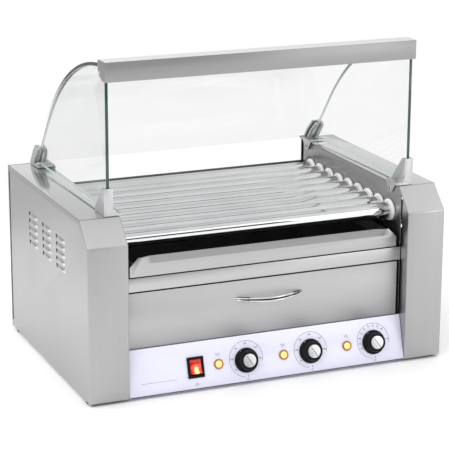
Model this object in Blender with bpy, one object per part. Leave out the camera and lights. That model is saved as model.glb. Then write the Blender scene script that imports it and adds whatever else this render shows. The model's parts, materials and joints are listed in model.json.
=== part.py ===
"""Counter-top hot dog roller grill with a warming drawer and a curved glass hood.

Units are metres and +Z is up. x runs along the rollers, with the drive box on the +X side. In this
script y is measured from the front face of the two side boxes, towards the rear, and z from the
surface that the feet stand on. One empty, "machine", then moves the whole grill so that the middle
of its footprint lies on the world's origin.
"""
import math

import bmesh
import bpy
from mathutils import Vector

# ---- driving dimensions --------------------------------------------------------------------------
GAP = 0.0003              # left between two pieces that touch
SHEET = 0.0012            # stainless sheet
WIDTH = 0.580             # across the flat outer faces of the side boxes
DEPTH = 0.388             # front face of the side boxes to the back panel's outer face
SIDE_BOX = 0.063          # width of one side box
FOOT_HEIGHT = 0.004
TOP_Z = 0.275             # top of the side boxes
CHAMFER = 0.035           # 45 degree chamfer between a box's front and its top
MACHINE_CENTRE_Y = 0.1963  # middle of the footprint, knobs and cable gland included

# Front of the bay between the side boxes, from the bottom up.
BAY_Y = 0.021             # front face of the drawer, the rail and the drip tray
PANEL_TOP_Z = 0.073       # top edge of the sloping control panel
DRAWER_TOP_Z = 0.1591
RAIL_BOTTOM_Z = 0.1612
RAIL_TOP_Z = 0.1819
TRAY_BOTTOM_Z = 0.1838
TRAY_TOP_Z = 0.2127

# Louvres in the outer sides, listed from the rear column to the front one.
LOUVRE_YS = [0.2566, 0.1889, 0.1220]
LOUVRE_TOP_Z = 0.2235
LOUVRE_PITCH = 0.0113
LOUVRE_ROWS = 5
LOUVRE_LENGTH = 0.044
LOUVRE_RISE = 0.0035
GLAND_XZ = (0.245, 0.045)
GLAND_THREAD_R = 0.008
PAN_RIM = 0.008           # height of the turned-up edge of the base pan

# Controls on the panel: x places, and the height of their middles up the slope.
KNOB_XS = [-0.0376, 0.0694, 0.1768]
LAMP_XS = [-0.0828, 0.0242, 0.1312]
SWITCH_X = -0.120
CONTROL_V = 0.0333
KNOB_SKIRT_R = 0.0190
KNOB_FACE_R = 0.0140
KNOB_HEIGHT = 0.0150
SPINDLE_R = 0.0030
NECK_R = 0.0050           # threaded neck of a thermostat
LAMP_BODY_R = 0.0050
LAMP_BEZEL_R = 0.0078
SWITCH_BEZEL_HALF = (0.0130, 0.0158)
SWITCH_BODY_HALF = (0.0108, 0.0134)
ROCKER_HALF = (0.0088, 0.0109)
ROCKER_AXIS_DEPTH = 0.0035
ROCKER_SWING = math.radians(9)

ROLLER_COUNT = 9
ROLLER_PITCH = 0.0352
ROLLER_Y = 0.060          # axis of the front roller
ROLLER_Z = 0.2315
ROLLER_R = 0.0125
ROLLER_WALL = 0.001
TUBE_LEFT_X = -0.2400
TUBE_RIGHT_X = 0.2455
BUSH_FLANGE_R = 0.0168
BUSH_FLANGE = 0.0042      # thickness of the flange
BUSH_BODY_R = 0.0148
BUSH_BORE_R = ROLLER_R + 0.0003
HEATER_R = 0.004
HEATER_BAR_X = (0.2540, 0.2600)

# Chain drive in the right side box.
CHAIN_PITCH = 0.00635
CHAIN_X = 0.2400          # middle of the chain and the sprockets
ROLLER_TEETH = 15
MOTOR_TEETH = 12
SPROCKET_HALF = 0.0018
MOTOR_Y = 0.205
MOTOR_Z = 0.112
MOTOR_R = 0.030
MOTOR_NEAR_X = 0.2490

TRAY_HALF_X = 0.2140
TRAY_FRONT_HALF_X = 0.2180
TRAY_FLOOR_Z = 0.1865
TRAY_RIM_Z = 0.2050
TRAY_LENGTH = 0.345
LIP_HEIGHT = 0.0100       # finger lip along the top of the drip tray's front
LIP_LEAN = 0.0050
LIP_HALF_X = 0.1860

DRAWER_HALF_X = 0.2050
DRAWER_FRONT_HALF_X = 0.2205
DRAWER_FLOOR_Z = 0.0825
DRAWER_RIM_Z = 0.1500
DRAWER_LENGTH = 0.325
HANDLE_HALF = 0.0572
HANDLE_X = 0.0033
HANDLE_Z = 0.1312
HANDLE_REACH = 0.0225

# Hood. The curved glass is an arc about one line, then a straight tail.
HOOD_CENTRE_Y = 0.036
HOOD_CENTRE_Z = 0.136
HOOD_R = 0.360
HOOD_TAIL_ANGLE = math.radians(51.5)
GLASS = 0.005
GLASS_BOTTOM_Z = 0.2785   # lower edge of the curved glass
PANE_OUTER_X = 0.2465     # outer faces of the two flat side panes
PANE_FRONT_Y = 0.039
PANE_BOTTOM_Z = 0.2796
BAR_FRONT_Y = 0.0314
BAR_BOTTOM_Z = 0.472
BAR_TOP_Z = 0.501
BAR_HALF_X = 0.2480
CLAMP_HALF = 0.0070
CLAMP_BASE_HEIGHT = 0.0040

# ---- derived places ------------------------------------------------------------------------------
OUTER_X = WIDTH / 2
INNER_X = OUTER_X - SIDE_BOX            # the face of a side box towards the rollers
FRONT_HALF_X = INNER_X - GAP            # rail and control panel fill the width between the boxes
FACE_TOP_Z = TOP_Z - CHAMFER            # top of the upright front face
BODY_BOTTOM_Z = FOOT_HEIGHT
PAN_TOP_Z = BODY_BOTTOM_Z + SHEET
BACK_Y = DEPTH - SHEET                  # inner face of the back panel
PLATE_FRONT_Y = 0.0255                  # front edge of the inner plates
PLATE_BACK_Y = 0.375
PLATE_X = INNER_X + SHEET               # outer face of an inner plate, inside the box
PANEL_BOTTOM_Z = BODY_BOTTOM_Z + 0.0005
PANEL_HEIGHT = PANEL_TOP_Z - PANEL_BOTTOM_Z
PANEL_TILT = math.atan2(BAY_Y - SHEET, PANEL_HEIGHT)
PANEL_SLOPE = PANEL_HEIGHT / math.cos(PANEL_TILT)
ROLLER_YS = [ROLLER_Y + index * ROLLER_PITCH for index in range(ROLLER_COUNT)]
BUSH_FACE_X = INNER_X - GAP - BUSH_FLANGE
BUSH_END_X = PLATE_X + 0.0030
CLAMP_X = PANE_OUTER_X - GLASS / 2
CLAMP_BASE_Z = TOP_Z + GAP

# ---- finishes: name, colour, roughness, metallic -------------------------------------------------
STEEL = ("stainless", (0.66, 0.66, 0.67), 0.32, 1.0)
BOX_STEEL = ("box_steel", (0.62, 0.62, 0.63), 0.35, 1.0)
CHROME = ("chrome", (0.80, 0.81, 0.83), 0.08, 1.0)
CAST = ("cast_chrome", (0.72, 0.73, 0.74), 0.25, 1.0)
GLASS_FINISH = ("glass", (0.78, 0.88, 0.84), 0.03, 0.0)
PTFE = ("white_bush", (0.90, 0.90, 0.90), 0.45, 0.0)
PRINTED = ("printed_panel", (0.83, 0.81, 0.92), 0.40, 0.0)
BLACK = ("black_plastic", (0.015, 0.015, 0.017), 0.35, 0.0)
RUBBER = ("rubber", (0.02, 0.02, 0.02), 0.8, 0.0)
AMBER = ("amber_lens", (1.0, 0.55, 0.12), 0.15, 0.0)
RED = ("red_rocker", (0.75, 0.03, 0.02), 0.2, 0.0)
DARK_STEEL = ("dark_steel", (0.16, 0.16, 0.17), 0.45, 1.0)
MOTOR_PAINT = ("motor_paint", (0.20, 0.22, 0.24), 0.5, 0.3)
BAKELITE = ("bakelite", (0.10, 0.06, 0.04), 0.5, 0.0)
SMOOTH_ANGLE = math.radians(35)
ROUND = 20                # sides of a round piece
SMALL_ROUND = 16


# ---- helpers -------------------------------------------------------------------------------------
def finish_material(finish):
    """The Principled material for a (name, colour, roughness, metallic) finish."""
    name, colour, roughness, metallic = finish
    found = bpy.data.materials.get(name)
    if found:
        return found
    made = bpy.data.materials.new(name)
    made.use_nodes = True
    shader = made.node_tree.nodes["Principled BSDF"]
    shader.inputs["Base Color"].default_value = (*colour, 1.0)
    shader.inputs["Roughness"].default_value = roughness
    shader.inputs["Metallic"].default_value = metallic
    if name == "glass":
        shader.inputs["Transmission Weight"].default_value = 0.9
    made.diffuse_color = (*colour, 1.0)
    return made


def empty(name, location=(0, 0, 0), parent=None, tilt=0.0):
    """A guide that other objects are parented to; tilt turns it about X."""
    guide = bpy.data.objects.new(name, None)
    guide.location = location
    guide.rotation_euler = (tilt, 0, 0)
    guide.parent = parent
    guide.empty_display_size = 0.03
    bpy.context.collection.objects.link(guide)
    return guide


def add(name, shape, finish, parent, location=(0, 0, 0)):
    """Make an object from a bmesh, or from a mesh that another object already has."""
    if isinstance(shape, bmesh.types.BMesh):
        bmesh.ops.recalc_face_normals(shape, faces=shape.faces)
        mesh = bpy.data.meshes.new(name)
        shape.to_mesh(mesh)
        shape.free()
    else:
        mesh = shape
    made = bpy.data.objects.new(name, mesh)
    made.location = location
    made.parent = parent
    bpy.context.collection.objects.link(made)
    if not mesh.materials:
        mesh.materials.append(finish_material(finish))
    mesh.shade_smooth()
    mesh.set_sharp_from_angle(angle=SMOOTH_ANGLE)
    return made


def tool(shape, like):
    """A temporary object in the same place as another, to cut or fuse with."""
    made = add("tool", shape, STEEL, like.parent, like.location)
    return made


def apply_boolean(target, shape, operation):
    """Cut a bmesh shape out of an object, or fuse it on, in the object's own coordinates."""
    cutter = tool(shape, target)
    step = target.modifiers.new(operation, "BOOLEAN")
    step.operation = operation
    step.solver = "EXACT"
    step.object = cutter
    bpy.context.view_layer.update()
    seen = target.evaluated_get(bpy.context.evaluated_depsgraph_get())
    result = bpy.data.meshes.new_from_object(seen)
    target.modifiers.remove(step)
    old = target.data
    target.data = result
    result.name = target.name
    bpy.data.meshes.remove(old)
    spent = cutter.data
    bpy.data.objects.remove(cutter)
    bpy.data.meshes.remove(spent)
    result.materials.clear()
    return result


def cut(target, *shapes):
    finish = target.data.materials[0]
    for shape in shapes:
        apply_boolean(target, shape, "DIFFERENCE")
    target.data.materials.append(finish)
    target.data.set_sharp_from_angle(angle=SMOOTH_ANGLE)


def fuse(target, *shapes):
    finish = target.data.materials[0]
    for shape in shapes:
        apply_boolean(target, shape, "UNION")
    target.data.materials.append(finish)
    target.data.set_sharp_from_angle(angle=SMOOTH_ANGLE)


def on_axis(axis, along, first, second):
    """A point from its place along an axis and the two coordinates across it, in X, Y, Z order."""
    if axis == "X":
        return Vector((along, first, second))
    if axis == "Y":
        return Vector((first, along, second))
    return Vector((first, second, along))


def prism(outline, axis, low, high):
    """Extrude a flat outline along an axis. The outline's points are the other two coordinates."""
    shape = bmesh.new()
    near = [shape.verts.new(on_axis(axis, low, *point)) for point in outline]
    far = [shape.verts.new(on_axis(axis, high, *point)) for point in outline]
    shape.faces.new(near)
    shape.faces.new(far)
    count = len(outline)
    for index in range(count):
        following = (index + 1) % count
        shape.faces.new((near[index], near[following], far[following], far[index]))
    bmesh.ops.recalc_face_normals(shape, faces=shape.faces)
    return shape


def lofted(shape, rings):
    """Close a bmesh whose rings of four corners follow one another, with a flat face at each end."""
    for near, far in zip(rings, rings[1:]):
        for index in range(4):
            following = (index + 1) % 4
            shape.faces.new((near[index], near[following], far[following], far[index]))
    shape.faces.new(rings[0])
    shape.faces.new(rings[-1])
    bmesh.ops.recalc_face_normals(shape, faces=shape.faces)
    return shape


def block(low, high):
    """A box from its lowest and highest corners; a swapped pair is put in order."""
    low, high = [min(pair) for pair in zip(low, high)], [max(pair) for pair in zip(low, high)]
    outline = [(low[0], low[1]), (high[0], low[1]), (high[0], high[1]), (low[0], high[1])]
    return prism(outline, "Z", low[2], high[2])


def ring_points(centre, radius, segments, start=0.0):
    """Points round a circle, as the two coordinates across an axis."""
    turn = math.tau / segments
    return [(centre[0] + radius * math.cos(start + turn * index),
             centre[1] + radius * math.sin(start + turn * index)) for index in range(segments)]


def rod(axis, centre, radius, low, high, segments=ROUND):
    return prism(ring_points(centre, radius, segments), axis, low, high)


def turned(profile, axis, centre=(0, 0), segments=ROUND):
    """Sweep a closed outline of (along, radius) points round an axis. A radius of 0 is a pole."""
    shape = bmesh.new()
    rings = []
    for along, radius in profile:
        if radius == 0:
            rings.append([shape.verts.new(on_axis(axis, along, *centre))])
        else:
            places = ring_points(centre, radius, segments)
            rings.append([shape.verts.new(on_axis(axis, along, *place)) for place in places])
    for index, ring in enumerate(rings):
        other = rings[(index + 1) % len(rings)]
        if len(ring) == 1 and len(other) == 1:
            continue
        for step in range(segments):
            following = (step + 1) % segments
            corners = [ring[step % len(ring)], ring[following % len(ring)],
                       other[following % len(other)], other[step % len(other)]]
            shape.faces.new(list(dict.fromkeys(corners)))
    bmesh.ops.recalc_face_normals(shape, faces=shape.faces)
    return shape


def arc(centre, radius, start, end, steps):
    """Points on an arc from one angle to another, both ends included."""
    span = end - start
    return [(centre[0] + radius * math.cos(start + span * index / steps),
             centre[1] + radius * math.sin(start + span * index / steps)) for index in range(steps + 1)]


def joined(shapes):
    """Several bmesh shapes that don't touch, as one."""
    whole = bmesh.new()
    for shape in shapes:
        scrap = bpy.data.meshes.new("scrap")
        shape.to_mesh(scrap)
        whole.from_mesh(scrap)
        shape.free()
        bpy.data.meshes.remove(scrap)
    return whole


def mirrored(side, *values):
    """x places on the +X side (side 1) or the -X side (side -1)."""
    return [side * value for value in values]


# ---- outlines ------------------------------------------------------------------------------------
def box_outline(inset, bottom, back):
    """Side view of a side box: upright front, 45 degree chamfer, level top. Points are (y, z)."""
    diagonal = inset * math.sqrt(2)
    return [(inset, bottom), (inset, FACE_TOP_Z + inset - diagonal),
            (CHAMFER - inset + diagonal, TOP_Z - inset), (back, TOP_Z - inset), (back, bottom)]


def hood_curve(offset, start_y, end_z, steps=16):
    """Side view of the curved glass, moved inwards by an offset: an arc, then the straight tail."""
    radius = HOOD_R - offset
    start = math.acos((start_y - HOOD_CENTRE_Y) / radius)
    end = math.pi / 2 - HOOD_TAIL_ANGLE
    points = arc((HOOD_CENTRE_Y, HOOD_CENTRE_Z), radius, start, end, steps)
    tail_y, tail_z = points[-1]
    run = (tail_z - end_z) / math.tan(HOOD_TAIL_ANGLE)
    return points + [(tail_y + run, end_z)]


def curved_glass_outline(grow=0.0):
    """The curved glass in side view; grow makes it larger all round, for a slot."""
    start_y = 0.048 - grow
    outer = hood_curve(-grow, start_y, GLASS_BOTTOM_Z - grow)
    inner = hood_curve(GLASS + grow, start_y, GLASS_BOTTOM_Z - grow)
    return outer + inner[::-1]


def side_pane_outline(grow=0.0):
    """A flat side pane in side view, under the curved glass."""
    front = PANE_FRONT_Y - grow
    edge = hood_curve(GLASS + GAP - grow, front, PANE_BOTTOM_Z - grow)
    return [(front, PANE_BOTTOM_Z - grow)] + edge


def pane_slot(side):
    inner, outer = mirrored(side, PANE_OUTER_X - GLASS - GAP, PANE_OUTER_X + GAP)
    return prism(side_pane_outline(GAP), "X", inner, outer)


def curved_slot():
    return prism(curved_glass_outline(GAP), "X", -PANE_OUTER_X - GAP, PANE_OUTER_X + GAP)


# ---- casing --------------------------------------------------------------------------------------
def louvre(side, y, z):
    """The pressed hood of one louvre: tapered ends, highest along its lower lip."""
    shape = bmesh.new()
    half = LOUVRE_LENGTH / 2
    rings = [(-0.0005, half, 0.0040, -0.0042), (LOUVRE_RISE * 0.75, half - 0.0030, 0.0018, -0.0040),
             (LOUVRE_RISE, half - 0.0060, -0.0010, -0.0038)]
    made = []
    for out, reach, top, low in rings:
        x = side * (OUTER_X + out)
        corners = [(y - reach, z + low), (y + reach, z + low), (y + reach, z + top), (y - reach, z + top)]
        made.append([shape.verts.new((x, *corner)) for corner in corners])
    return lofted(shape, made)


def louvre_hollow(side, y, z):
    """What is cut from one louvre: a slit through the sheet that opens under the lip."""
    half = LOUVRE_LENGTH / 2 - 0.0075
    sheet_in = side * (OUTER_X - SHEET - 0.0006)
    mouth = side * (OUTER_X + 0.0003)
    top = side * (OUTER_X + LOUVRE_RISE - 0.0009)
    outline = [(sheet_in, z + 0.0020), (mouth, z + 0.0014), (top, z - 0.0012), (top, z - 0.0048),
               (mouth, z - 0.0048), (mouth, z - 0.0030), (sheet_in, z - 0.0030)]
    return prism([(x, height) for x, height in outline], "Y", y - half, y + half)


def side_housing(name, side):
    """Folded casing of a side box: front, chamfer, top and outer side, with louvres in the side."""
    back = BACK_Y - GAP
    inner_x, outer_x, wall_x, skin_x = mirrored(side, INNER_X, OUTER_X, OUTER_X - SHEET, PLATE_X)
    housing = add(name, prism(box_outline(0, BODY_BOTTOM_Z, back), "X", inner_x, outer_x), BOX_STEEL,
                  MACHINE)
    beyond = 0.05
    hollow = prism(box_outline(SHEET, BODY_BOTTOM_Z - beyond, back + beyond), "X", skin_x, wall_x)
    chamfer_z = FACE_TOP_Z + BAY_Y - SHEET * math.sqrt(2)
    corner_y = CHAMFER + SHEET * (math.sqrt(2) - 1)
    opening = [(BAY_Y - SHEET, BODY_BOTTOM_Z - beyond), (BAY_Y - SHEET, chamfer_z - SHEET),
               (corner_y, TOP_Z - SHEET), (back + beyond, TOP_Z - SHEET),
               (back + beyond, BODY_BOTTOM_Z - beyond)]
    open_low, open_high = mirrored(side, INNER_X - 0.01, PLATE_X + 0.0005)
    cut(housing, hollow, prism(opening, "X", open_low, open_high))
    places = [(y, LOUVRE_TOP_Z - row * LOUVRE_PITCH) for y in LOUVRE_YS for row in range(LOUVRE_ROWS)]
    fuse(housing, joined([louvre(side, *place) for place in places]))
    cut(housing, joined([louvre_hollow(side, *place) for place in places]))
    return housing


def inner_plate(name, side):
    """Upright plate that carries one end of the rollers, with the slide ledges of tray and drawer."""
    inset = SHEET + GAP
    outline = box_outline(inset, PAN_TOP_Z + GAP, PLATE_BACK_Y)
    outline[0] = (PLATE_FRONT_Y, PAN_TOP_Z + GAP)
    outline[1] = (PLATE_FRONT_Y, FACE_TOP_Z + PLATE_FRONT_Y - inset * math.sqrt(2))
    inner_x, outer_x, bush_x = mirrored(side, INNER_X, PLATE_X, INNER_X - 0.01)
    plate = add(name, prism(outline, "X", inner_x, outer_x), STEEL, MACHINE)
    overlap = 0.0004
    folds = []
    top = TOP_Z - inset
    folds.append(((PLATE_X - overlap, 0.045, top - SHEET), (PLATE_X + 0.008, PLATE_BACK_Y, top)))
    low = PAN_TOP_Z + GAP
    folds.append(((PLATE_X - overlap, 0.030, low), (PLATE_X + 0.012, PLATE_BACK_Y, low + SHEET)))
    for ledge_top, reach in ((TRAY_FLOOR_Z - 0.0005, TRAY_HALF_X - 0.009),
                             (DRAWER_FLOOR_Z - 0.0005, DRAWER_HALF_X - 0.009)):
        folds.append(((reach, 0.040, ledge_top - SHEET), (INNER_X + overlap, 0.355, ledge_top)))
    for near, far in folds:
        fuse(plate, block((side * near[0], *near[1:]), (side * far[0], *far[1:])))
    low_x, high_x = sorted((bush_x, side * (PLATE_X + 0.01)))
    holes = [rod("X", (y, ROLLER_Z), BUSH_BODY_R + GAP, low_x, high_x, SMALL_ROUND) for y in ROLLER_YS]
    cut(plate, joined(holes))
    return plate


def base_pan():
    """Floor of the machine, with a turned-up edge all round."""
    wide = OUTER_X - SHEET - GAP
    front, back = BAY_Y, BACK_Y - GAP
    pan = add("base_pan", block((-wide, front, BODY_BOTTOM_Z), (wide, back, BODY_BOTTOM_Z + PAN_RIM)),
              STEEL, MACHINE)
    cut(pan, block((-wide + SHEET, front + SHEET, PAN_TOP_Z), (wide - SHEET, back - SHEET, 0.05)))
    return pan


def back_panel():
    """Rear sheet, cut down between the side boxes, with air slots and the cable hole."""
    wide = OUTER_X
    middle = INNER_X + SHEET
    notch_z = 0.236
    outline = [(-wide, BODY_BOTTOM_Z), (wide, BODY_BOTTOM_Z), (wide, TOP_Z), (middle, TOP_Z),
               (middle, notch_z), (-middle, notch_z), (-middle, TOP_Z), (-wide, TOP_Z)]
    panel = add("back_panel", prism(outline, "Y", BACK_Y, DEPTH), BOX_STEEL, MACHINE)
    slots = []
    for side in (-1, 1):
        for row in range(6):
            z = 0.120 + row * 0.016
            slots.append(block((side * 0.240, BACK_Y - 0.01, z), (side * 0.278, DEPTH + 0.01, z + 0.005)))
    slots.append(rod("Y", GLAND_XZ, GLAND_THREAD_R + GAP, BACK_Y - 0.01, DEPTH + 0.01, 24))
    cut(panel, joined(slots))
    return panel


def cable_gland():
    """Nylon gland in the back panel: flange and dome outside, thread and lock nut inside."""
    inside, outside = BACK_Y - GAP, DEPTH + GAP
    profile = [(inside - 0.010, 0.0040), (inside - 0.010, GLAND_THREAD_R), (inside - 0.005, GLAND_THREAD_R),
               (inside - 0.005, 0.0115), (inside, 0.0115), (inside, GLAND_THREAD_R),
               (outside, GLAND_THREAD_R), (outside, 0.0110), (outside + 0.006, 0.0110),
               (outside + 0.007, 0.0095), (outside + 0.012, 0.0070), (outside + 0.013, 0.0040)]
    return add("cable_gland", turned(profile, "Y", GLAND_XZ, SMALL_ROUND), BLACK, MACHINE)


def feet():
    """Four low rubber feet, recessed underneath for a screw."""
    for end, y in (("front", 0.020), ("rear", 0.366)):
        for hand, side in (("left", -1), ("right", 1)):
            profile = [(0.0, 0.0050), (0.0, 0.0095), (0.0008, 0.0105), (FOOT_HEIGHT - GAP, 0.0110),
                       (FOOT_HEIGHT - GAP, 0.0), (0.0015, 0.0), (0.0015, 0.0050)]
            place = (side * (OUTER_X - 0.0125), y)
            add(f"foot_{end}_{hand}", turned(profile, "Z", place, SMALL_ROUND), RUBBER, MACHINE)


# ---- front of the machine ------------------------------------------------------------------------
def front_rail():
    """Folded rail across the front, between the drawer and the drip tray."""
    outline = [(BAY_Y, RAIL_BOTTOM_Z), (BAY_Y, RAIL_TOP_Z), (BAY_Y + 0.014, RAIL_TOP_Z),
               (BAY_Y + 0.014, RAIL_TOP_Z - SHEET), (BAY_Y + SHEET, RAIL_TOP_Z - SHEET),
               (BAY_Y + SHEET, RAIL_BOTTOM_Z + SHEET), (BAY_Y + 0.014, RAIL_BOTTOM_Z + SHEET),
               (BAY_Y + 0.014, RAIL_BOTTOM_Z)]
    return add("front_rail", prism(outline, "X", -FRONT_HALF_X, FRONT_HALF_X), STEEL, MACHINE)


def control_panel():
    """Sloping panel with its holes. In the panel's own frame z runs up the slope and -y outwards."""
    back_y, back_v = math.cos(PANEL_TILT), math.sin(PANEL_TILT)
    top_fold, floor_fold = 0.012, 0.018
    outline = [(0, 0), (0, PANEL_SLOPE), (top_fold, PANEL_SLOPE - 0.0035),
               (top_fold, PANEL_SLOPE - 0.0047), (SHEET, PANEL_SLOPE - 0.0014), (SHEET, 0.0016),
               (floor_fold * back_y, floor_fold * back_v + SHEET),
               (floor_fold * back_y, floor_fold * back_v)]
    panel = add("control_panel", prism(outline, "X", -FRONT_HALF_X, FRONT_HALF_X), PRINTED, PANEL)
    holes = [rod("Y", (x, CONTROL_V), NECK_R + GAP, -0.01, 0.008, SMALL_ROUND) for x in KNOB_XS]
    holes += [rod("Y", (x, CONTROL_V), LAMP_BODY_R + GAP, -0.01, 0.008, SMALL_ROUND) for x in LAMP_XS]
    half_x, half_v = SWITCH_BODY_HALF[0] + GAP, SWITCH_BODY_HALF[1] + GAP
    holes.append(block((SWITCH_X - half_x, -0.01, CONTROL_V - half_v),
                       (SWITCH_X + half_x, 0.008, CONTROL_V + half_v)))
    cut(panel, joined(holes))
    return panel


def thermostats():
    """Three thermostats behind the panel, each with a threaded neck that a spindle turns in."""
    for index, x in enumerate(KNOB_XS, 1):
        back, half = 0.030, 0.0165
        body = block((-half, SHEET + GAP, -half), (half, back, half))
        thermostat = add(f"thermostat_{index}", body, BAKELITE, PANEL, (x, 0, CONTROL_V))
        fuse(thermostat, rod("Y", (0, 0), NECK_R, -0.0025, SHEET + 0.002, SMALL_ROUND))
        cut(thermostat, rod("Y", (0, 0), SPINDLE_R + GAP, -0.01, 0.0150, 16))


def knobs():
    """Round control knobs. The spindle is fixed in the knob, and their axis is the object's -Y."""
    recess = 0.0062
    face = -KNOB_HEIGHT
    profile = [(face, 0.0), (face, KNOB_FACE_R - 0.0012), (face + 0.0012, KNOB_FACE_R), (-0.0045, 0.0166),
               (-0.0035, KNOB_SKIRT_R), (-0.0008, KNOB_SKIRT_R), (-0.0008, recess), (-0.0040, recess),
               (-0.0040, SPINDLE_R), (0.0120, SPINDLE_R), (0.0120, 0.0)]
    shape = turned(profile, "Y")
    first = add("knob_1", shape, BLACK, PANEL, (KNOB_XS[0], 0, CONTROL_V))
    for index, x in enumerate(KNOB_XS[1:], 2):
        add(f"knob_{index}", first.data, BLACK, PANEL, (x, 0, CONTROL_V))


def indicator_lamps():
    """Neon lamps: a bezel and a domed lens in front of the panel, the body behind it."""
    profile = [(-0.0042, 0.0), (-0.0036, 0.0030), (-0.0022, 0.0054), (-0.0018, LAMP_BEZEL_R - 0.0006),
               (-0.0010, LAMP_BEZEL_R), (-GAP, LAMP_BEZEL_R), (-GAP, LAMP_BODY_R), (0.022, LAMP_BODY_R),
               (0.022, 0.0)]
    shape = turned(profile, "Y", (0, 0), SMALL_ROUND)
    first = add("heat_lamp_1", shape, AMBER, PANEL, (LAMP_XS[0], 0, CONTROL_V))
    for index, x in enumerate(LAMP_XS[1:], 2):
        add(f"heat_lamp_{index}", first.data, AMBER, PANEL, (x, 0, CONTROL_V))


def power_switch():
    """Rocker switch: a bezel and body with an open top, and the rocker that tilts in it."""
    bezel_x, bezel_v = SWITCH_BEZEL_HALF
    body_x, body_v = SWITCH_BODY_HALF
    well_x, well_v = ROCKER_HALF[0] + 0.0006, ROCKER_HALF[1] + 0.0014
    switch = add("power_switch_body", block((-bezel_x, -0.0020, -bezel_v), (bezel_x, -GAP, bezel_v)),
                 BLACK, PANEL, (SWITCH_X, 0, CONTROL_V))
    fuse(switch, block((-body_x, -0.0010, -body_v), (body_x, 0.022, body_v)))
    cut(switch, block((-well_x, -0.01, -well_v), (well_x, 0.0125, well_v)))
    half_x, half_v = ROCKER_HALF
    tip, middle, back = 0.0045, 0.0022, 0.0050
    outline = [(-tip, -half_v), (-middle, 0), (-tip, half_v), (back - 0.003, half_v - 0.0006),
               (back, half_v * 0.6), (back, -half_v * 0.6), (back - 0.003, -half_v + 0.0006)]
    outline = [(y - ROCKER_AXIS_DEPTH, v) for y, v in outline]
    rocker = add("power_switch_rocker", prism(outline, "X", -half_x, half_x), RED, PANEL,
                 (SWITCH_X, ROCKER_AXIS_DEPTH, CONTROL_V))
    rocker.rotation_euler = (-ROCKER_SWING, 0, 0)


# ---- rollers and drive ---------------------------------------------------------------------------
def sprocket_outline(teeth, centre=(0, 0)):
    """Tooth outline of a sprocket: three points to a tooth. Returns the points and the tip radius."""
    pitch_r = CHAIN_PITCH / (2 * math.sin(math.pi / teeth))
    root_r = pitch_r - 0.00165
    tip_r = pitch_r + 0.00150
    step = math.tau / teeth
    points = []
    for tooth in range(teeth):
        middle = tooth * step
        for radius, part in ((tip_r, -0.12), (tip_r, 0.12), (root_r, 0.50)):
            angle = middle + part * step
            points.append((centre[0] + radius * math.cos(angle), centre[1] + radius * math.sin(angle)))
    return points, tip_r


def rollers():
    """Hollow steel tubes, each with its sprocket welded on in the drive box."""
    tube = rod("X", (0, 0), ROLLER_R, TUBE_LEFT_X, TUBE_RIGHT_X)
    first = add("roller_1", tube, CHROME, MACHINE, (0, ROLLER_YS[0], ROLLER_Z))
    teeth = sprocket_outline(ROLLER_TEETH)[0]
    fuse(first, prism(teeth, "X", CHAIN_X - SPROCKET_HALF, CHAIN_X + SPROCKET_HALF))
    bore = ROLLER_R - ROLLER_WALL
    cut(first, rod("X", (0, 0), bore, TUBE_LEFT_X - 0.01, TUBE_RIGHT_X + 0.01, SMALL_ROUND))
    for index, y in enumerate(ROLLER_YS[1:], 2):
        add(f"roller_{index}", first.data, CHROME, MACHINE, (0, y, ROLLER_Z))


def bush_profile(side):
    flange_back = INNER_X - GAP
    profile = [(BUSH_FACE_X, BUSH_BORE_R), (BUSH_FACE_X, BUSH_FLANGE_R - 0.0012),
               (BUSH_FACE_X + 0.0012, BUSH_FLANGE_R), (flange_back, BUSH_FLANGE_R),
               (flange_back, BUSH_BODY_R), (BUSH_END_X, BUSH_BODY_R), (BUSH_END_X, BUSH_BORE_R)]
    return [(side * along, radius) for along, radius in profile]


def bushes():
    """White flanged bushes: nine separate ones on the right, and a moulded strip of nine on the left."""
    shape = turned(bush_profile(1), "X", (0, 0), SMALL_ROUND)
    first = add("right_bush_1", shape, PTFE, MACHINE, (0, ROLLER_YS[0], ROLLER_Z))
    for index, y in enumerate(ROLLER_YS[1:], 2):
        add(f"right_bush_{index}", first.data, PTFE, MACHINE, (0, y, ROLLER_Z))
    band = block((-PLATE_X - GAP, ROLLER_YS[0], ROLLER_Z - 0.004),
                 (-BUSH_END_X, ROLLER_YS[-1], ROLLER_Z + 0.004))
    strip = add("left_bush_strip", band, PTFE, MACHINE)
    centres = [(y, ROLLER_Z) for y in ROLLER_YS]
    solid = bush_profile(-1)[1:-1] + [(-BUSH_END_X, 0.0), (-BUSH_FACE_X, 0.0)]
    fuse(strip, joined([turned(solid, "X", centre, SMALL_ROUND) for centre in centres]))
    cut(strip, joined([rod("X", centre, BUSH_BORE_R, -0.26, -0.20, SMALL_ROUND) for centre in centres]))


def heater_bank():
    """Nine heating rods, one in each roller, held at both ends by a terminal bar."""
    near, far = HEATER_BAR_X
    low_y, high_y = ROLLER_YS[0] - 0.008, ROLLER_YS[-1] + 0.008
    bars = [block((side * near, low_y, ROLLER_Z - 0.005), (side * far, high_y, ROLLER_Z + 0.005))
            for side in (-1, 1)]
    bank = add("heater_bank", joined(bars), DARK_STEEL, MACHINE)
    reach = (near + far) / 2
    fuse(bank, joined([rod("X", (y, ROLLER_Z), HEATER_R, -reach, reach, 8) for y in ROLLER_YS]))
    return bank


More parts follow.
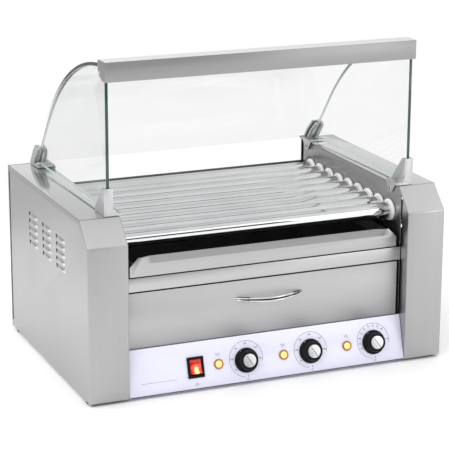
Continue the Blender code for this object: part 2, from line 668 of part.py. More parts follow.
def chain_loop(grow):
    """Outline of a loop pulled tight round the roller sprockets and the motor's, as (y, z) points."""
    roller_r = sprocket_outline(ROLLER_TEETH)[1] + grow
    motor_r = sprocket_outline(MOTOR_TEETH)[1] + grow
    front, rear, motor = (ROLLER_YS[0], ROLLER_Z), (ROLLER_YS[-1], ROLLER_Z), (MOTOR_Y, MOTOR_Z)

    def tangent_angle(start, start_r, end, end_r):
        """Angle of the outward normal of the tangent that runs anticlockwise from start to end."""
        run_y, run_z = end[0] - start[0], end[1] - start[1]
        heading = math.atan2(run_z, run_y)
        return heading - math.pi / 2 + math.asin((start_r - end_r) / math.hypot(run_y, run_z))

    to_motor = tangent_angle(front, roller_r, motor, motor_r)
    from_motor = tangent_angle(motor, motor_r, rear, roller_r)
    points = arc(rear, roller_r, from_motor, math.pi / 2, 10)
    points += arc(front, roller_r, math.pi / 2, to_motor + math.tau, 10)
    points += arc(motor, motor_r, to_motor, from_motor, 8)
    return points


def drive_chain():
    """The roller chain as a plain band that runs just outside the tips of the sprockets' teeth."""
    clearance, thickness, half = 0.0005, 0.0024, 0.0022
    chain = add("drive_chain", prism(chain_loop(clearance + thickness), "X", CHAIN_X - half, CHAIN_X + half),
                DARK_STEEL, MACHINE)
    cut(chain, prism(chain_loop(clearance), "X", CHAIN_X - 0.01, CHAIN_X + 0.01))
    return chain


def gear_motor():
    """Synchronous gear motor in the drive box, on a bracket that stands on the base pan."""
    centre = (MOTOR_Y, MOTOR_Z)
    motor = add("gear_motor", rod("X", centre, MOTOR_R, MOTOR_NEAR_X, MOTOR_NEAR_X + 0.034, 28),
                MOTOR_PAINT, MACHINE)
    foot_z = PAN_TOP_Z + SHEET + 2 * GAP
    bracket_x = MOTOR_NEAR_X - 0.0015
    fuse(motor, rod("X", centre, 0.009, MOTOR_NEAR_X - 0.003, MOTOR_NEAR_X + 0.002, SMALL_ROUND),
         block((bracket_x, MOTOR_Y - 0.034, foot_z), (bracket_x + 0.002, MOTOR_Y + 0.034, MOTOR_Z + 0.034)),
         block((bracket_x, MOTOR_Y - 0.034, foot_z), (bracket_x + 0.030, MOTOR_Y + 0.034, foot_z + 0.002)))
    return motor


def motor_sprocket():
    """Motor sprocket with its hub and output shaft. The object's origin is on its axis."""
    teeth = sprocket_outline(MOTOR_TEETH)[0]
    sprocket = add("motor_sprocket", prism(teeth, "X", CHAIN_X - SPROCKET_HALF, CHAIN_X + SPROCKET_HALF),
                   DARK_STEEL, MACHINE, (0, MOTOR_Y, MOTOR_Z))
    hub_far = MOTOR_NEAR_X - 0.003 - GAP
    fuse(sprocket, rod("X", (0, 0), 0.0075, CHAIN_X - SPROCKET_HALF - 0.002, hub_far, SMALL_ROUND))
    return sprocket


# ---- drip tray and drawer ------------------------------------------------------------------------
def drip_tray():
    """Tray under the rollers: a pan with a folded front, cut corners and a pressed finger lip."""
    pan_front = BAY_Y + SHEET - 0.0004
    tray = add("drip_tray", block((-TRAY_HALF_X, pan_front, TRAY_FLOOR_Z),
                                  (TRAY_HALF_X, pan_front + TRAY_LENGTH, TRAY_RIM_Z)), STEEL, MACHINE)
    cut(tray, block((-TRAY_HALF_X + SHEET, pan_front + SHEET, TRAY_FLOOR_Z + SHEET),
                    (TRAY_HALF_X - SHEET, pan_front + TRAY_LENGTH - SHEET, TRAY_RIM_Z + 0.01)))
    corner = 0.0135
    reach = TRAY_FRONT_HALF_X
    outline = [(-reach, TRAY_BOTTOM_Z), (reach, TRAY_BOTTOM_Z), (reach, TRAY_TOP_Z - corner),
               (reach - corner, TRAY_TOP_Z), (-reach + corner, TRAY_TOP_Z), (-reach, TRAY_TOP_Z - corner)]
    lip_low = TRAY_TOP_Z - LIP_HEIGHT
    front = prism(outline, "Y", BAY_Y, BAY_Y + SHEET)
    notch = block((-LIP_HALF_X - 0.012, BAY_Y - 0.01, lip_low), (LIP_HALF_X + 0.012, BAY_Y + 0.01, 0.25))
    fuse(tray, front)
    cut(tray, notch)
    fuse(tray, finger_lip(lip_low))
    return tray


def finger_lip(low_z):
    """The part of the tray's front that leans back, with a slanted facet at each end."""
    shape = bmesh.new()
    overlap = 0.0006
    ends = (-LIP_HALF_X - 0.0125, LIP_HALF_X + 0.0125)
    rows = []
    for x, lean in ((ends[0], 0.0), (-LIP_HALF_X, LIP_LEAN), (LIP_HALF_X, LIP_LEAN), (ends[1], 0.0)):
        rows.append([shape.verts.new(point) for point in (
            (x, BAY_Y, low_z - overlap), (x, BAY_Y + SHEET, low_z - overlap),
            (x, BAY_Y + SHEET + lean, TRAY_TOP_Z), (x, BAY_Y + lean, TRAY_TOP_Z))])
    return lofted(shape, rows)


def drawer_tray():
    """Open steel tray of the warming drawer."""
    front = BAY_Y + SHEET + GAP
    tray = add("drawer_tray", block((-DRAWER_HALF_X, front, DRAWER_FLOOR_Z),
                                    (DRAWER_HALF_X, front + DRAWER_LENGTH, DRAWER_RIM_Z)), STEEL, MACHINE)
    cut(tray, block((-DRAWER_HALF_X + SHEET, front + SHEET, DRAWER_FLOOR_Z + SHEET),
                    (DRAWER_HALF_X - SHEET, front + DRAWER_LENGTH - SHEET, DRAWER_RIM_Z + 0.01)))
    return tray


def drawer_front():
    """Flat front of the drawer, folded back along all four edges."""
    low_z, high_z, fold = PANEL_TOP_Z + 0.0006, DRAWER_TOP_Z, 0.010
    front = add("drawer_front", block((-DRAWER_FRONT_HALF_X, BAY_Y, low_z),
                                      (DRAWER_FRONT_HALF_X, BAY_Y + fold, high_z)), STEEL, MACHINE)
    inside = DRAWER_FRONT_HALF_X - SHEET
    cut(front, block((-inside, BAY_Y + SHEET, low_z + SHEET), (inside, BAY_Y + 0.05, high_z - SHEET)))
    return front


def drawer_handle():
    """Cast bow handle: a crescent in plan, flat on top and tapering to pointed ends."""
    back = BAY_Y - GAP
    outer_r = (HANDLE_HALF ** 2 + HANDLE_REACH ** 2) / (2 * HANDLE_REACH)
    inner_half, inner_reach = HANDLE_HALF - 0.0085, HANDLE_REACH - 0.0070
    inner_r = (inner_half ** 2 + inner_reach ** 2) / (2 * inner_reach)
    outer_swing = math.asin(HANDLE_HALF / outer_r)
    inner_swing = math.asin(inner_half / inner_r)
    down = -math.pi / 2
    outer_centre = (HANDLE_X, back - HANDLE_REACH + outer_r)
    inner_centre = (HANDLE_X, back - inner_reach + inner_r)
    outline = arc(outer_centre, outer_r, down - outer_swing, down + outer_swing, 14)
    outline += arc(inner_centre, inner_r, down + inner_swing, down - inner_swing, 10)
    bow = prism(outline, "Z", HANDLE_Z - 0.0045, HANDLE_Z + 0.0045)
    handle = add("drawer_handle", bow, CHROME, MACHINE)
    softened = handle.modifiers.new("edges", "BEVEL")
    softened.width = 0.0012
    softened.segments = 1
    softened.limit_method = "ANGLE"
    softened.angle_limit = math.radians(50)
    return handle


def drawer_heater():
    """Flat heating plate under the drawer, on four legs that stand on the base pan."""
    low_z = 0.0660
    plate = add("drawer_heater", block((-0.160, 0.080, low_z), (0.160, 0.300, low_z + 0.004)), DARK_STEEL,
                MACHINE)
    legs = [rod("Z", (x, y), 0.004, PAN_TOP_Z + GAP, low_z + 0.002, 8)
            for x in (-0.150, 0.150) for y in (0.090, 0.290)]
    fuse(plate, joined(legs))
    return plate


# ---- hood ----------------------------------------------------------------------------------------
def hood_top_bar():
    """Steel bar that caps the front of the hood. Slots take the side panes and the curved glass."""
    rear = 0.064
    outline = [(BAR_FRONT_Y, BAR_BOTTOM_Z), (BAR_FRONT_Y, BAR_TOP_Z), (rear - 0.005, BAR_TOP_Z),
               (rear - 0.0015, BAR_TOP_Z - 0.0012), (rear, BAR_TOP_Z - 0.0040), (rear, 0.4855),
               (rear - 0.004, 0.4835), (rear - 0.006, 0.4780), (0.0440, BAR_BOTTOM_Z)]
    bar = add("hood_top_bar", prism(outline, "X", -BAR_HALF_X, BAR_HALF_X), STEEL, MACHINE)
    cut(bar, curved_slot(), pane_slot(-1), pane_slot(1))
    return bar


def hood_glass():
    """The curved rear glass, and the flat pane at each end."""
    add("rear_curved_glass", prism(curved_glass_outline(), "X", -PANE_OUTER_X, PANE_OUTER_X), GLASS_FINISH,
        MACHINE)
    for name, side in (("left_side_glass", -1), ("right_side_glass", 1)):
        inner, outer = mirrored(side, PANE_OUTER_X - GLASS, PANE_OUTER_X)
        add(name, prism(side_pane_outline(), "X", inner, outer), GLASS_FINISH, MACHINE)


def clamp_tab(middle_y, length, side):
    """Tab that hangs from a clamp's base over the inner plate, with a round lower end."""
    radius = 0.0085
    top = CLAMP_BASE_Z + 0.002
    low = top - length
    round_end = arc((middle_y, low + radius), radius, math.radians(200), math.radians(340), 8)
    outline = [(middle_y - 0.0165, top)] + round_end + [(middle_y + 0.0165, top)]
    near, far = mirrored(side, INNER_X - 0.0028, INNER_X - GAP)
    return prism(outline, "X", near, far)


def front_clamp(name, side):
    """Cast clamp that a side pane's front edge stands in: base, upright with a gusset, and tab."""
    front_y, top_z, back_y = 0.0358, 0.3165, 0.0765
    inner_x, outer_x = mirrored(side, CLAMP_X - CLAMP_HALF, CLAMP_X + CLAMP_HALF)
    base_in = side * (INNER_X - 0.0028)
    upright = [(front_y, CLAMP_BASE_Z), (front_y, top_z), (front_y + 0.0085, top_z),
               (back_y, CLAMP_BASE_Z + 0.004), (back_y, CLAMP_BASE_Z)]
    clamp = add(name, prism(upright, "X", inner_x, outer_x), CAST, MACHINE)
    base = [(base_in, front_y), (outer_x, front_y), (outer_x, back_y - 0.004), (base_in, back_y - 0.004)]
    flare = [(side * (CLAMP_X - CLAMP_HALF + 0.001), CLAMP_BASE_Z + 0.012),
             (side * (INNER_X + 0.0030), CLAMP_BASE_Z + CLAMP_BASE_HEIGHT - 0.0005),
             (side * (INNER_X + 0.0030), CLAMP_BASE_Z + 0.001),
             (side * (CLAMP_X - CLAMP_HALF + 0.001), CLAMP_BASE_Z + 0.001)]
    fuse(clamp, prism(base, "Z", CLAMP_BASE_Z, CLAMP_BASE_Z + CLAMP_BASE_HEIGHT),
         prism(flare, "Y", front_y + 0.0002, front_y + 0.010), clamp_tab(0.0565, 0.0165, side))
    cut(clamp, pane_slot(side))
    return clamp


def rear_clamp(name, side):
    """Cast clamp at the foot of the curved glass: base, two rounded jaws and a tab."""
    base_front, base_back = 0.348, 0.3865
    base_in, base_out = mirrored(side, INNER_X - 0.0028, 0.2530)
    low, high = CLAMP_BASE_Z, CLAMP_BASE_Z + 0.0036
    clamp = add(name, block((base_in, base_front, low), (base_out, base_back, high)), CAST, MACHINE)
    inner_curve = hood_curve(GLASS + 0.0045, 0.200, low + 0.001)
    outer_curve = hood_curve(-0.0035, 0.200, low + 0.001)
    foot_in, foot_out = inner_curve[-1][0], outer_curve[-1][0]
    jaw_top = 0.0295
    lean = jaw_top / math.tan(HOOD_TAIL_ANGLE)
    jaw = [(foot_in, low + 0.001), (foot_in - lean, low + jaw_top),
           (foot_in - lean + 0.004, low + jaw_top + 0.004), (foot_out - lean, low + jaw_top + 0.0045),
           (foot_out, low + 0.001)]
    near, far = mirrored(side, CLAMP_X - 0.0110, CLAMP_X + 0.0085)
    shoulder = 0.0045
    fuse(clamp, prism(jaw, "X", near, far), clamp_tab(0.3585, 0.0165, side))
    corner_out = [(far + side * 0.001, high + 0.014), (far + side * 0.001, high + 0.05),
                  (far - side * shoulder, high + 0.05)]
    corner_in = [(near - side * 0.001, high + 0.010), (near - side * 0.001, high + 0.05),
                 (near + side * 2 * shoulder, high + 0.05)]
    cut(clamp, prism(corner_out, "Y", 0.30, 0.40), prism(corner_in, "Y", 0.30, 0.40), curved_slot(),
        pane_slot(side))
    return clamp


# ---- assembly ------------------------------------------------------------------------------------
for stale in list(bpy.data.objects):
    bpy.data.objects.remove(stale)

MACHINE = empty("machine", (0, -MACHINE_CENTRE_Y, 0))
PANEL = empty("panel_frame", (0, 0, PANEL_BOTTOM_Z), MACHINE, -PANEL_TILT)

base_pan()
back_panel()
side_housing("left_housing", -1)
side_housing("right_housing", 1)
inner_plate("left_inner_plate", -1)
inner_plate("right_inner_plate", 1)
front_rail()
control_panel()
feet()
cable_gland()
thermostats()
knobs()
indicator_lamps()
power_switch()
rollers()
bushes()
heater_bank()
drive_chain()
gear_motor()
motor_sprocket()
drip_tray()
drawer_tray()
drawer_front()
drawer_handle()
drawer_heater()
hood_top_bar()
hood_glass()
front_clamp("left_front_clamp", -1)
front_clamp("right_front_clamp", 1)
rear_clamp("left_rear_clamp", -1)
rear_clamp("right_rear_clamp", 1)
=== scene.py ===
"""Looks for a counter-top hot dog roller grill: surfaces, small parts, light and camera round its CAD frame.

Everything is in metres in the CAD's own frame: +X along the rollers, +Y to the back, +Z up. Sizes that the
frame holds are read from it, and the few that it doesn't are the named values below.
"""
import json
import math

import bmesh
import bpy
from mathutils import Matrix, Vector


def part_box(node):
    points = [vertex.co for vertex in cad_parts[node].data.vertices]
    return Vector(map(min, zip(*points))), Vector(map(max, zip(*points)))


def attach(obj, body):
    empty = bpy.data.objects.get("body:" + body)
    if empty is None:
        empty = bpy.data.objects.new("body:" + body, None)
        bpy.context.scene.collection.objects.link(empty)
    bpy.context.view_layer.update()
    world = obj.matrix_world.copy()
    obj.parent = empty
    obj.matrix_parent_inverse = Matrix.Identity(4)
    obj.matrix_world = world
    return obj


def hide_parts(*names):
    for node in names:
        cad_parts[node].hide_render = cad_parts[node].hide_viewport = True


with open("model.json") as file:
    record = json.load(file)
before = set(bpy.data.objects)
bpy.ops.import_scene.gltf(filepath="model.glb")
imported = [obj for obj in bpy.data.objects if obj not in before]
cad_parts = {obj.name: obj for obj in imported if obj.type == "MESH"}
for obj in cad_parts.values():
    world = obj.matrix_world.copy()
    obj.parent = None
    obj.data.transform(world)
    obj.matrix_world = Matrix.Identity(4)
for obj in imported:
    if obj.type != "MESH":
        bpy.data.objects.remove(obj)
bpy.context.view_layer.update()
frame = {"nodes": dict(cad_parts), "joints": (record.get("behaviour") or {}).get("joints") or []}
NODES = frame["nodes"]
JOINTS = {joint["name"]: joint for joint in frame["joints"]}
HANDS = ((1, "right"), (-1, "left"))
ROLLERS = range(1, 10)
KNOBS = range(1, 4)

# ---- sizes ----
SHEET = 0.0012
GAP = 0.0003                             # between parts that fit into each other
OUTER_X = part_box("back_panel")[1].x
INNER_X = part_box("right_housing")[0].x
FRONT_Y, BODY_LOW_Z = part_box("right_housing")[0].y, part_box("right_housing")[0].z
BACK_Y, TOP_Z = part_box("right_housing")[1].y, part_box("right_housing")[1].z
BAY_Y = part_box("front_rail")[0].y
CHAMFER = 0.035
FOLD_R = 0.0022
LOUVRE_YS = [0.2566, 0.1889, 0.1220]     # middles of the columns, back from the front face
LOUVRE_TOP_Z = 0.2235
LOUVRE_PITCH = 0.0113
LOUVRE_ROWS = 5
LOUVRE_HALF = 0.022
LOUVRE_RISE = 0.0034
LOUVRE_TALL = 0.0040
SLIT_TALL = 0.0031
ROLLER_R = 0.0125
ROLLER_WALL = 0.001
CHAIN_PITCH = 0.00635
SPROCKET_TEETH = 15
SPROCKET_XS = (0.2382, 0.2418)
HOOD_R = 0.360
HOOD_CENTRE = (FRONT_Y + 0.036, 0.136)
HOOD_TAIL = math.radians(51.5)
GLASS = 0.005
GLASS_ROUNDING = 0.0005
DIAL_R = 0.0273
DIAL_RISE = 0.0022
INK_HEIGHT = 0.00008

# ---- light and viewpoint ----
# Brightness of the surroundings by height: -1 is straight down, 0 the horizon and 1 straight up.
FRONT_ROOM = [(-1.0, 0.92), (-0.03, 0.92), (-0.01, 0.05), (0.26, 0.05), (0.30, 1.15), (0.52, 1.15),
              (0.60, 0.62), (1.0, 0.58)]
SIDE_ROOM = [(-1.0, 0.80), (0.0, 0.90), (0.5, 0.78), (1.0, 0.62)]
BACK_DIM = 0.70
ROOM_LIGHT = 1.32
# Name, place, width, power, what the lamp is aimed at, and whether metal and the camera see it.
LAMPS = (("key", (-2.0, -1.9, 2.2), 1.4, 16.0, (0, 0, 0.2), True),
         ("fill", (2.0, -2.6, 0.75), 1.2, 12.0, (0, 0, 0.2), True),
         ("floor_lift", (-0.85, 0.15, 0.55), 0.35, 2.0, (-0.42, -0.05, 0.0), False))
SKYLIGHT = 1.1
SKYLIGHT_SPREAD = math.radians(120)
FLOOR_HALF, FLOOR_FRONT, FLOOR_BACK = 1.30, -1.30, 0.75
CAMERA_PLACE = (-1.0901, FRONT_Y - 2.3797, 0.989)
AZIMUTH, ELEVATION, ROLL = math.radians(-23.04), math.radians(15.84), math.radians(0.24)
LENS, SENSOR = 147.7, 36.0               # in millimetres


# ---- node materials ----
def new_node(tree, kind, inputs=None, **settings):
    """Add a node with its settings, and give its inputs values or join them to other nodes' outputs."""
    node = tree.nodes.new(kind)
    for key, value in settings.items():
        setattr(node, key, value)
    for socket, value in (inputs or {}).items():
        if isinstance(value, bpy.types.NodeSocket):
            tree.links.new(value, node.inputs[socket])
        else:
            node.inputs[socket].default_value = value
    return node


def colour_ramp(tree, value, stops):
    """Colours along a value: stops are (place, (r, g, b))."""
    node = new_node(tree, "ShaderNodeValToRGB", {"Fac": value})
    points = node.color_ramp.elements
    while len(points) < len(stops):
        points.new(0.5)
    for point, (place, colour) in zip(points, stops):
        point.position = place
        point.color = (*colour, 1.0)
    return node.outputs["Color"]


class Surface:
    """A material under construction: its Principled shader and short ways to add and join nodes."""

    def __init__(self, name, **inputs):
        self.material = bpy.data.materials.new(name)
        self.material.use_nodes = True
        self.tree = self.material.node_tree
        self.shader = self.tree.nodes["Principled BSDF"]
        self.place = self.add("ShaderNodeTexCoord").outputs["Object"]
        for key, value in inputs.items():
            self.set(key.replace("_", " "), value)

    def add(self, kind, inputs=None, **settings):
        return new_node(self.tree, kind, inputs, **settings)

    def set(self, socket, value):
        if isinstance(value, bpy.types.NodeSocket):
            self.tree.links.new(value, self.shader.inputs[socket])
        elif isinstance(value, tuple):
            self.shader.inputs[socket].default_value = (*value, 1.0)
        else:
            self.shader.inputs[socket].default_value = value

    def ramp(self, value, *stops):
        return colour_ramp(self.tree, value, stops)

    def noise(self, scale, detail=3.0, stretch=(1, 1, 1), shift=(0, 0, 0), roughness=0.5):
        """Fractal noise in metres, drawn out by the stretch; small stretch numbers make long grain."""
        mapping = self.add("ShaderNodeMapping", {"Vector": self.place, "Scale": stretch, "Location": shift})
        noise = self.add("ShaderNodeTexNoise", {"Vector": mapping.outputs["Vector"], "Scale": scale,
                                                "Detail": detail, "Roughness": roughness})
        return noise.outputs["Fac"]

    def spread(self, value, low, high, start=0.3, end=0.7):
        """Map a 0 to 1 value onto another range."""
        node = self.add("ShaderNodeMapRange", {"Value": value, "From Min": start, "From Max": end,
                                               "To Min": low, "To Max": high})
        return node.outputs["Result"]

    def maths(self, operation, first, second):
        return self.add("ShaderNodeMath", {0: first, 1: second}, operation=operation).outputs["Value"]

    def split(self, shift=(0, 0, 0)):
        """The piece's own coordinates about a point, as three values."""
        mapping = self.add("ShaderNodeMapping", {"Vector": self.place, "Location": shift})
        return self.add("ShaderNodeSeparateXYZ", {"Vector": mapping.outputs["Vector"]}).outputs

    def bump(self, height, distance):
        node = self.add("ShaderNodeBump", {"Height": height, "Distance": distance, "Strength": 1.0})
        self.set("Normal", node.outputs["Normal"])


def brushed(name, colour, roughness, grain, depth=0.000012, smears=0.5, metal=1.0):
    """Brushed sheet steel. Grain is the noise stretch: small along the brush strokes, large across."""
    made = Surface(name, Metallic=metal)
    fine = made.noise(1.0, 4.0, grain, roughness=0.65)
    coarse = made.noise(1.0, 2.0, tuple(0.31 * value for value in grain), shift=(3.1, 1.7, 0.4))
    smear = made.noise(9.0, 3.0, shift=(0.3, 0.9, 0.2))
    strokes = made.maths("ADD", made.maths("MULTIPLY", fine, 0.65), made.maths("MULTIPLY", coarse, 0.35))
    dark = tuple(0.965 * value for value in colour)
    light = tuple(min(1.0, 1.035 * value) for value in colour)
    made.set("Base Color", made.ramp(strokes, (0.34, dark), (0.50, colour), (0.66, light)))
    polish = made.spread(smear, -0.05 * smears, 0.06 * smears)
    matt = made.spread(strokes, roughness - 0.02, roughness + 0.02)
    made.set("Roughness", made.maths("ADD", matt, polish))
    made.bump(strokes, depth)
    return made.material


def polished(name, colour, roughness, scratch=(300, 300, 300), depth=0.000004):
    """Plated or polished metal with hairline scratches and faint hazy patches."""
    made = Surface(name, Metallic=1.0)
    hair = made.noise(1.0, 5.0, scratch, roughness=0.7)
    haze = made.noise(14.0, 3.0, shift=(1.3, 0.2, 2.2))
    dull = tuple(0.94 * value for value in colour)
    made.set("Base Color", made.ramp(haze, (0.35, dull), (0.60, colour)))
    made.set("Roughness", made.maths("ADD", made.spread(hair, roughness * 0.7, roughness * 1.3),
                                     made.spread(haze, 0.0, roughness * 0.5)))
    made.bump(hair, depth)
    return made.material


def plastic(name, colour, roughness, texture=2600.0, depth=0.00002, coat=0.0, shine=0.5):
    """Moulded plastic with a fine spark-eroded texture."""
    made = Surface(name, IOR=1.49, Coat_Weight=coat, Specular_IOR_Level=shine)
    spark = made.noise(texture, 3.0)
    cloud = made.noise(60.0, 2.0)
    lighter = tuple(min(1.0, value * 1.25 + 0.004) for value in colour)
    made.set("Base Color", made.ramp(cloud, (0.35, colour), (0.75, lighter)))
    made.set("Roughness", made.spread(spark, roughness - 0.05, roughness + 0.07))
    made.bump(spark, depth)
    return made.material


def clear_glass(name, tint):
    """Thin clear float glass: what is behind shows through a faint tint, with more shine towards its rims."""
    made = Surface(name, Metallic=1.0, Roughness=0.02, Base_Color=(0.72, 0.74, 0.73))
    head_on, at_rim, rim_power = 0.022, 0.35, 4.0
    through = made.add("ShaderNodeBsdfTransparent", {"Color": (*tint, 1.0)})
    slant = made.add("ShaderNodeLayerWeight", {"Blend": 0.5})
    rise = made.maths("MULTIPLY", made.maths("POWER", slant.outputs["Facing"], rim_power), at_rim)
    wipe = made.noise(16.0, 4.0, (1, 1, 0.4))
    share = made.maths("MULTIPLY", made.maths("ADD", rise, head_on), made.spread(wipe, 0.8, 1.1))
    mix = made.add("ShaderNodeMixShader", {"Fac": share, 1: through.outputs["BSDF"],
                                           2: made.shader.outputs["BSDF"]})
    made.tree.links.new(mix.outputs["Shader"], made.tree.nodes["Material Output"].inputs["Surface"])
    return made.material


def glass_edge(name, dark, middle, light):
    """Ground and polished edge of green float glass: dark at both arrises, clearer between them."""
    made = Surface(name, IOR=1.5, Coat_Weight=0.4, Coat_Roughness=0.05)
    band = made.noise(1.0, 3.0, (900, 25, 25))
    made.set("Base Color", made.ramp(band, (0.30, dark), (0.55, middle), (0.80, light)))
    made.set("Roughness", made.spread(made.noise(900.0), 0.08, 0.22))
    return made.material


def bent_edge():
    """Edge of the bent glass: near black at its crown, and clearing to pale grey further down."""
    made = Surface("bent_glass_edge", IOR=1.5, Specular_IOR_Level=0.08)
    height = made.spread(made.split()["Z"], 0.0, 1.0, TOP_Z + 0.03, TOP_Z + 0.21)
    seam = made.spread(made.noise(300.0, 3.0), -0.04, 0.04)
    made.set("Base Color", made.ramp(made.maths("ADD", height, seam), (0.10, (0.86, 0.88, 0.87)),
                                     (0.50, (0.46, 0.49, 0.48)), (0.78, (0.035, 0.042, 0.041))))
    made.set("Roughness", made.spread(made.noise(900.0), 0.10, 0.24))
    return made.material


def printed_panel():
    """Pale lavender overlay with a silky surface."""
    made = Surface("panel_print", IOR=1.47, Coat_Weight=0.12, Coat_Roughness=0.25)
    cloud = made.noise(7.0, 3.0)
    made.set("Base Color", made.ramp(cloud, (0.35, (0.72, 0.72, 0.86)), (0.65, (0.75, 0.75, 0.885))))
    silk = made.noise(2400.0, 2.0)
    made.set("Roughness", made.spread(silk, 0.36, 0.46))
    made.bump(silk, 0.000010)
    return made.material


def lamp_lens():
    """Lit amber lens: brightest in the middle of its dome."""
    made = Surface("lamp_lens", Roughness=0.18, IOR=1.5, Coat_Weight=0.3, Emission_Strength=0.55)
    edge = made.add("ShaderNodeLayerWeight", {"Blend": 0.35})
    glow = made.ramp(edge.outputs["Facing"], (0.0, (1.0, 0.72, 0.27)), (0.45, (0.96, 0.50, 0.09)),
                     (1.0, (0.55, 0.19, 0.02)))
    made.set("Base Color", glow)
    made.set("Emission Color", glow)
    made.bump(made.noise(700.0, 2.0), 0.00008)
    return made.material


def rocker_glow(centre):
    """Translucent red rocker with a lamp low in its middle."""
    made = Surface("rocker_red", Roughness=0.16, IOR=1.5, Coat_Weight=0.5, Coat_Roughness=0.04,
                   Emission_Strength=0.85)
    axes = made.split(tuple(-value for value in centre))
    lamp_drop, narrow, tall = 0.0028, 130.0, 80.0
    across = made.maths("MULTIPLY", axes["X"], narrow)
    along = made.maths("MULTIPLY", made.maths("ADD", axes["Z"], lamp_drop), tall)
    flicker = made.spread(made.noise(420.0, 3.0), -0.16, 0.16)
    reach = made.maths("POWER", made.maths("ADD", made.maths("MULTIPLY", across, across),
                                           made.maths("MULTIPLY", along, along)), 0.5)
    colour = made.ramp(made.maths("ADD", reach, flicker), (0.12, (1.0, 0.88, 0.42)),
                       (0.38, (1.0, 0.42, 0.06)), (0.62, (0.86, 0.05, 0.012)), (1.0, (0.30, 0.006, 0.004)))
    made.set("Base Color", colour)
    made.set("Emission Color", colour)
    made.bump(made.noise(500.0, 2.0), 0.00005)
    return made.material


def floor_paper():
    """Matt white paper, faintly mottled."""
    made = Surface("floor_paper", Roughness=0.6)
    mottle = made.noise(3.0, 2.0)
    made.set("Base Color", made.ramp(mottle, (0.3, (0.93, 0.93, 0.93)), (0.7, (0.95, 0.95, 0.95))))
    return made.material


ALONG_X = (14, 1500, 1500)
ALONG_Y = (1500, 14, 1500)
ALONG_Z = (1500, 1500, 14)
LOOKS = {
    "casing": brushed("casing_steel", (0.425, 0.425, 0.427), 0.34, ALONG_Z),
    # Casing top: smoother and brushed front to back, and lighter than the sides; the lighter colour is
    # painted light.
    "casing_top": brushed("casing_top_smooth_and_painted_light_steel", (0.76, 0.76, 0.76), 0.12, ALONG_Y, 0.000004, 0.25),
    # Louvre noses: the casing steel made lighter, a painted highlight on the front ends.
    "nose": brushed("nose_painted_highlight_steel", (0.70, 0.70, 0.702), 0.30, ALONG_Z),
    # Chamfer: the casing steel in a lighter colour, painted light where the slope catches the lamps.
    "chamfer": brushed("chamfer_painted_light_steel", (0.67, 0.67, 0.672), 0.34, ALONG_Z),
    "sheet": brushed("front_steel", (0.53, 0.53, 0.532), 0.36, ALONG_X),
    "drawer": brushed("drawer_steel", (0.535, 0.535, 0.537), 0.56, ALONG_X),
    "bar": brushed("bar_steel", (0.33, 0.33, 0.332), 0.40, ALONG_X),
    # Top of the hood bar: lighter and less metallic than the bar's front, painted light.
    "bar_top": brushed("bar_top_painted_light_steel", (0.70, 0.70, 0.70), 0.45, ALONG_X, metal=0.35),
    "inside": brushed("inside_steel", (0.50, 0.50, 0.505), 0.38, ALONG_Y),
    "tray": brushed("tray_steel", (0.48, 0.48, 0.482), 0.34, ALONG_X),
    # Tray lip: the tray steel made darker, painted shade.
    "lip": brushed("lip_painted_shade_steel", (0.37, 0.37, 0.372), 0.34, ALONG_X),
    # Tray floor: near black, painted shade under the rollers.
    "tray_floor": brushed("tray_floor_painted_shade_steel", (0.035, 0.033, 0.032), 0.42, ALONG_X),
    "plate": polished("plate_steel", (0.36, 0.35, 0.35), 0.28, (900, 20, 900)),
    "chrome": polished("roller_chrome", (0.78, 0.79, 0.80), 0.07, (900, 60, 60)),
    "handle": polished("handle_chrome", (0.80, 0.80, 0.81), 0.06),
    # Dark chrome for the handle: painted shade.
    "handle_painted_shade": polished("handle_painted_shade_chrome", (0.09, 0.09, 0.092), 0.22),
    "cast": polished("cast_plate", (0.57, 0.57, 0.58), 0.30, (500, 500, 500), 0.00002),
    "screw": polished("screw_steel", (0.60, 0.60, 0.61), 0.18),
    "disc": polished("spun_aluminium", (0.70, 0.70, 0.71), 0.34, (900, 900, 900), 0.0000015),
    "dark": brushed("oiled_steel", (0.10, 0.10, 0.105), 0.40, ALONG_X),
    # Near black steel for faces in the gaps and under parts: painted shade.
    "shade": brushed("painted_shade_steel", (0.025, 0.025, 0.026), 0.45, ALONG_X),
    "bush": plastic("white_bush", (0.80, 0.80, 0.81), 0.40, 900.0, 0.00003),
    "black": plastic("black_plastic", (0.006, 0.006, 0.007), 0.34, 2600.0, 0.00003, 0.0, 0.10),
    "rubber": plastic("black_rubber", (0.018, 0.018, 0.018), 0.70, 900.0, 0.00006),
    "motor": plastic("motor_enamel", (0.045, 0.052, 0.060), 0.42, 700.0, 0.00005, 0.2),
    "bakelite": plastic("brown_thermoset", (0.050, 0.022, 0.014), 0.38, 800.0, 0.00004),
    "amber": plastic("amber_bezel", (0.40, 0.145, 0.018), 0.22, 1500.0, 0.00001, 0.3),
    "ink": plastic("panel_ink", (0.012, 0.014, 0.022), 0.45, 1500.0, 0.000004),
    "mark": plastic("knob_mark", (0.85, 0.85, 0.86), 0.40, 1500.0, 0.000004),
    "panel": printed_panel(),
    "glass": clear_glass("float_glass", (0.986, 0.989, 0.987)),
    "edge": glass_edge("glass_edge", (0.006, 0.022, 0.019), (0.018, 0.058, 0.050), (0.06, 0.13, 0.115)),
    "low_edge": glass_edge("low_glass_edge", (0.34, 0.48, 0.44), (0.46, 0.60, 0.56), (0.62, 0.72, 0.69)),
    "bent_edge": bent_edge(),
    "lens": lamp_lens(),
    "rocker": rocker_glow(JOINTS["rocker_tilt"]["pos_m"]),
    "floor": floor_paper(),
}


# ---- mesh helpers ----
def on_axis(axis, along, first, second):
    if axis == "X":
        return Vector((along, first, second))
    if axis == "Y":
        return Vector((first, along, second))
    return Vector((first, second, along))


